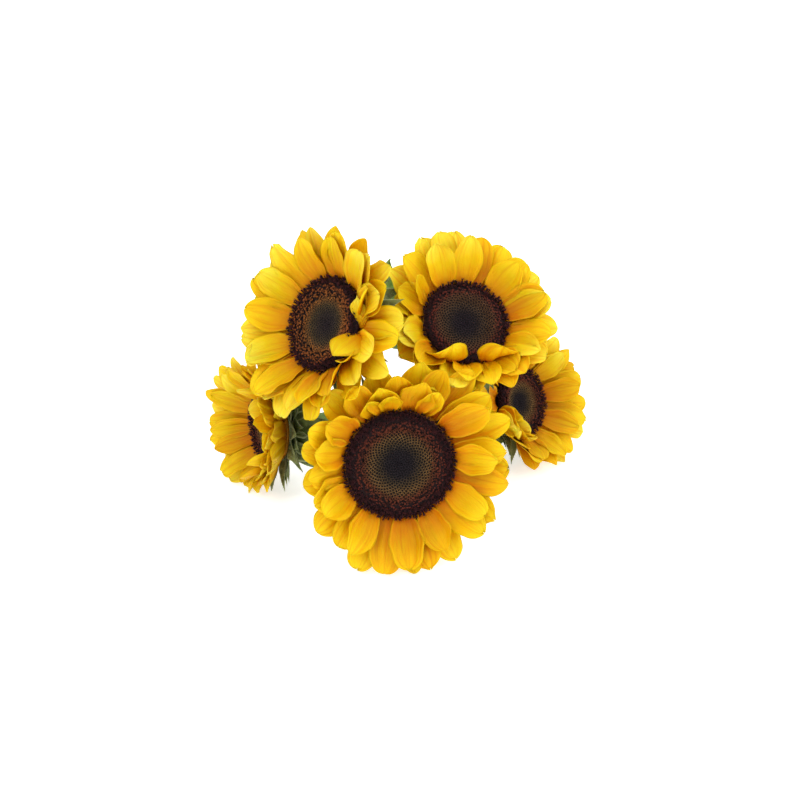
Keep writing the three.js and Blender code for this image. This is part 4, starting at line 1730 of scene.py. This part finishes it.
@dataclass
class Studio:
    """The pale floor, the soft lights and the camera."""

    floor_size: float = 12.0
    floor_glow: float = 0.5
    lens: float = 48.18
    sensor: float = 36.0
    sky: float = 0.92
    lit: Triple = (0, -0.1, 0.08)
    lamps: tuple[Lamp, ...] = (
        Lamp("key_light", (-0.7, -1.3, 1.5), 1.0, 12.5), Lamp("side_light", (1.3, -0.8, 1.0), 1.0, 8.5),
        Lamp("top_light", (0.5, 0.4, 1.9), 1.4, 12),
    )

    def floor(self) -> None:
        """Lays the floor."""
        half = self.floor_size / 2
        mesh = bpy.data.meshes.new("pale_floor")
        corners = [(-half, -half, 0), (half, -half, 0), (half, half, 0), (-half, half, 0)]
        mesh.from_pydata(corners, [], [(0, 1, 2, 3)])
        white = PlainFinish("floor_white", (250, 250, 250), (247, 247, 247), 30.0, 0.9).material()
        shader = next(node for node in white.node_tree.nodes if node.type == "BSDF_PRINCIPLED")
        shader.inputs["Emission Color"].default_value = (1, 1, 1, 1)
        shader.inputs["Emission Strength"].default_value = self.floor_glow
        mesh.materials.append(white)
        linked("pale_floor", mesh)

    @staticmethod
    def aim(thing: Object, place: Vector, way: Vector) -> None:
        """Puts a lamp or camera in its place and turns it the way it looks."""
        thing.location, thing.rotation_euler = place, way.to_track_quat("-Z", "Y").to_euler()

    def light(self) -> None:
        """Lights the bunch from above, from the front left and softly from the right."""
        world = bpy.data.worlds.new("soft_room")
        bpy.context.scene.world = world
        world.use_nodes = True
        sky = world.node_tree.nodes["Background"]
        sky.inputs[0].default_value = (1, 1, 1, 1)
        sky.inputs[1].default_value = self.sky
        for lamp in self.lamps:
            data = bpy.data.lights.new(lamp.name, "AREA")
            data.size, data.energy = lamp.size, lamp.power
            self.aim(linked(lamp.name, data), Vector(lamp.place), Vector(self.lit) - Vector(lamp.place))
        bpy.context.scene.view_settings.view_transform = "Standard"

    def camera(self) -> None:
        """Sets the camera where the bunch is seen as its heads are laid out."""
        data = bpy.data.cameras.new("view")
        data.lens, data.sensor_width = self.lens, self.sensor
        camera = linked("view", data)
        place = LAYOUT.settle(LAYOUT.place(0, 0, LAYOUT.eye_distance))
        self.aim(camera, Vector(place), Vector(-LAYOUT.shift(0, 0, 1)))
        bpy.context.scene.camera = camera


HEADS = (
    FlowerHead(
        "front", across=-0.3, up=-38.6, toward=0, turn=6, lift=-12, disc=32.5, petal=35.5, width=20.5,
        petals=13, cup=25, seed=11, node=1, bracts=1, tints=(0.7, 0.1, 0.2),
        crowding=(Push(112, 28, 10, 4, 0.0), Push(48, 24, -2, -8, -0.2), Push(190, 45, 4, 0, 0.18),
                  Push(270, 50, 0, 0, -0.06)),
        curled=(Blade(117, 26, 15, 44, 34, 0, 6, 40), Blade(100, 27, 15, 47, 28, 4, -6, 40),
                Blade(68, 29, 15, 46, 14, -4, 8, 38)),
    ),
    FlowerHead(
        "upper_left", across=-44.9, up=45.4, toward=0, turn=-41, lift=8, disc=28.1, petal=34, width=20.5,
        petals=13, cup=27, seed=23, node=0.34, bracts=1, bloom=Bloom.COPPER, reflexed=9,
        crowding=(Push(350, 40, -14, -10, 0), Push(296, 26, 10, -8, 0.0), Push(180, 60, 0, 0, -0.09),
                  Push(236, 24, 0, 0, -0.08), Push(118, 24, 0, 0, -0.1)),
        curled=(Blade(350, 25, 29, 68, -52, 0, 0, -50, 1.0, -100),
                Blade(322, 22, 15, 44, 24, -20, -30, 50, 0.9),
                Blade(352, 21, 15, 52, -52, 0, 0, -40, 1.5, 90),
                Blade(354, 27, 9, 22, 0, 60, -30, 50, 0.6, 50), Blade(14, 31, 14, 54, -20, 10, -30, 46)),
    ),
    FlowerHead(
        "upper_right", across=39.5, up=46.7, toward=-10, turn=12, lift=18, disc=25.8, petal=33, width=20.5,
        petals=12, cup=25, seed=37, node=0.53, bracts=1, bloom=Bloom.DUSKY, reflexed=8,
        crowding=(Push(188, 40, 4, -14, 0.32), Push(280, 48, 34, -40, 0.22), Push(106, 34, 0, 0, -0.09)),
        curled=(Blade(148, 27, 14, 50, 22, 4, 10, 36), Blade(238, 24, 27, 60, 62, 38, 30, 30, 0.8),
                Blade(304, 25, 26, 62, 56, -34, -30, 30, 0.8), Blade(270, 25, 15, 60, -70, 12, 30, 60, 0.9)),
    ),
    FlowerHead(
        "far_left", across=-87.8, up=-17.9, toward=-64.6, turn=-61, lift=-6, disc=22.6, petal=40, width=14.5,
        petals=18, cup=36, seed=53, node=0.78, bracts=1.3, reflexed=12, bract_width=14.0,
        crowding=(Push(74, 42, 0, -10, 0.36), Push(270, 40, 0, 0, 0.36), Push(330, 50, 8, 8, 0.3)),
        curled=(Blade(344, 18, 19, 60, 36, 6, 14, 34), Blade(314, 27, 21, 60, 42, -8, -12, 34),
                Blade(284, 29, 18, 56, 36, 6, 10, 36), Blade(28, 24, 18, 60, 42, 6, -14, 34),
                Blade(62, 27, 18, 60, 38, -6, 12, 34)),
    ),
    FlowerHead(
        "far_right", across=83.1, up=-1.6, toward=-100.1, turn=43, lift=3, disc=23.4, petal=37, width=19,
        petals=13, cup=32, seed=71, node=0.7, bracts=1.2, reflexed=8,
        crowding=(Push(110, 45, -4, -10, 0.36), Push(270, 36, 0, 0, 0.16), Push(226, 36, 40, 14, 0.3),
                  Push(168, 30, -24, -16, 0.0)),
        curled=(Blade(206, 22, 17, 84, 20, 4, 12, 36), Blade(230, 23, 18, 82, 24, -6, -16, 36),
                Blade(254, 22, 16, 74, 20, 6, 10, 36), Blade(192, 24, 13, 40, -10, 50, 0, 30, 0.7, 60)),
    ),
)

LEAVES = (
    Leaf("leaf_left", "main_stem", 0.14, (-14, 152, 52), (-96, 150, 6), (0.1, 1, 0.1), 0.42, 56),
    Leaf("leaf_right", "main_stem", 0.28, (84, 128, 50), (122, 88, 6), (-0.5, -1, 0.1), 0.34, 50),
    Leaf("leaf_upright", "upper_left", 0.6, (-14, -6, 116), (-6.6, -21.4, 144), (1, -0.2, 0), 0.3, 17),
    Leaf("leaf_front", "front", 0.5, (14, -50, 86), (45, -67, 80), (0.2, -0.5, 0.9), 0.24, 26),
)


def main() -> None:
    """Builds the bunch and its studio, piece by piece."""
    logging.basicConfig(level=logging.INFO, format="%(name)s: %(message)s")
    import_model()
    studio = Studio()
    studio.camera()
    shop, stem = Workshop(), MainStem()
    stem.build(shop)
    hosts = {"main_stem": stem.path}
    for head in HEADS:
        head.build_petals(shop)
        head.build_disc(shop)
        head.build_calyx(shop)
        hosts[head.name] = head.build_stalk(stem, shop)
    for leaf in LEAVES:
        leaf.build(hosts[leaf.on], shop)
    studio.floor()
    studio.light()


if __name__ == "__main__":
    main()
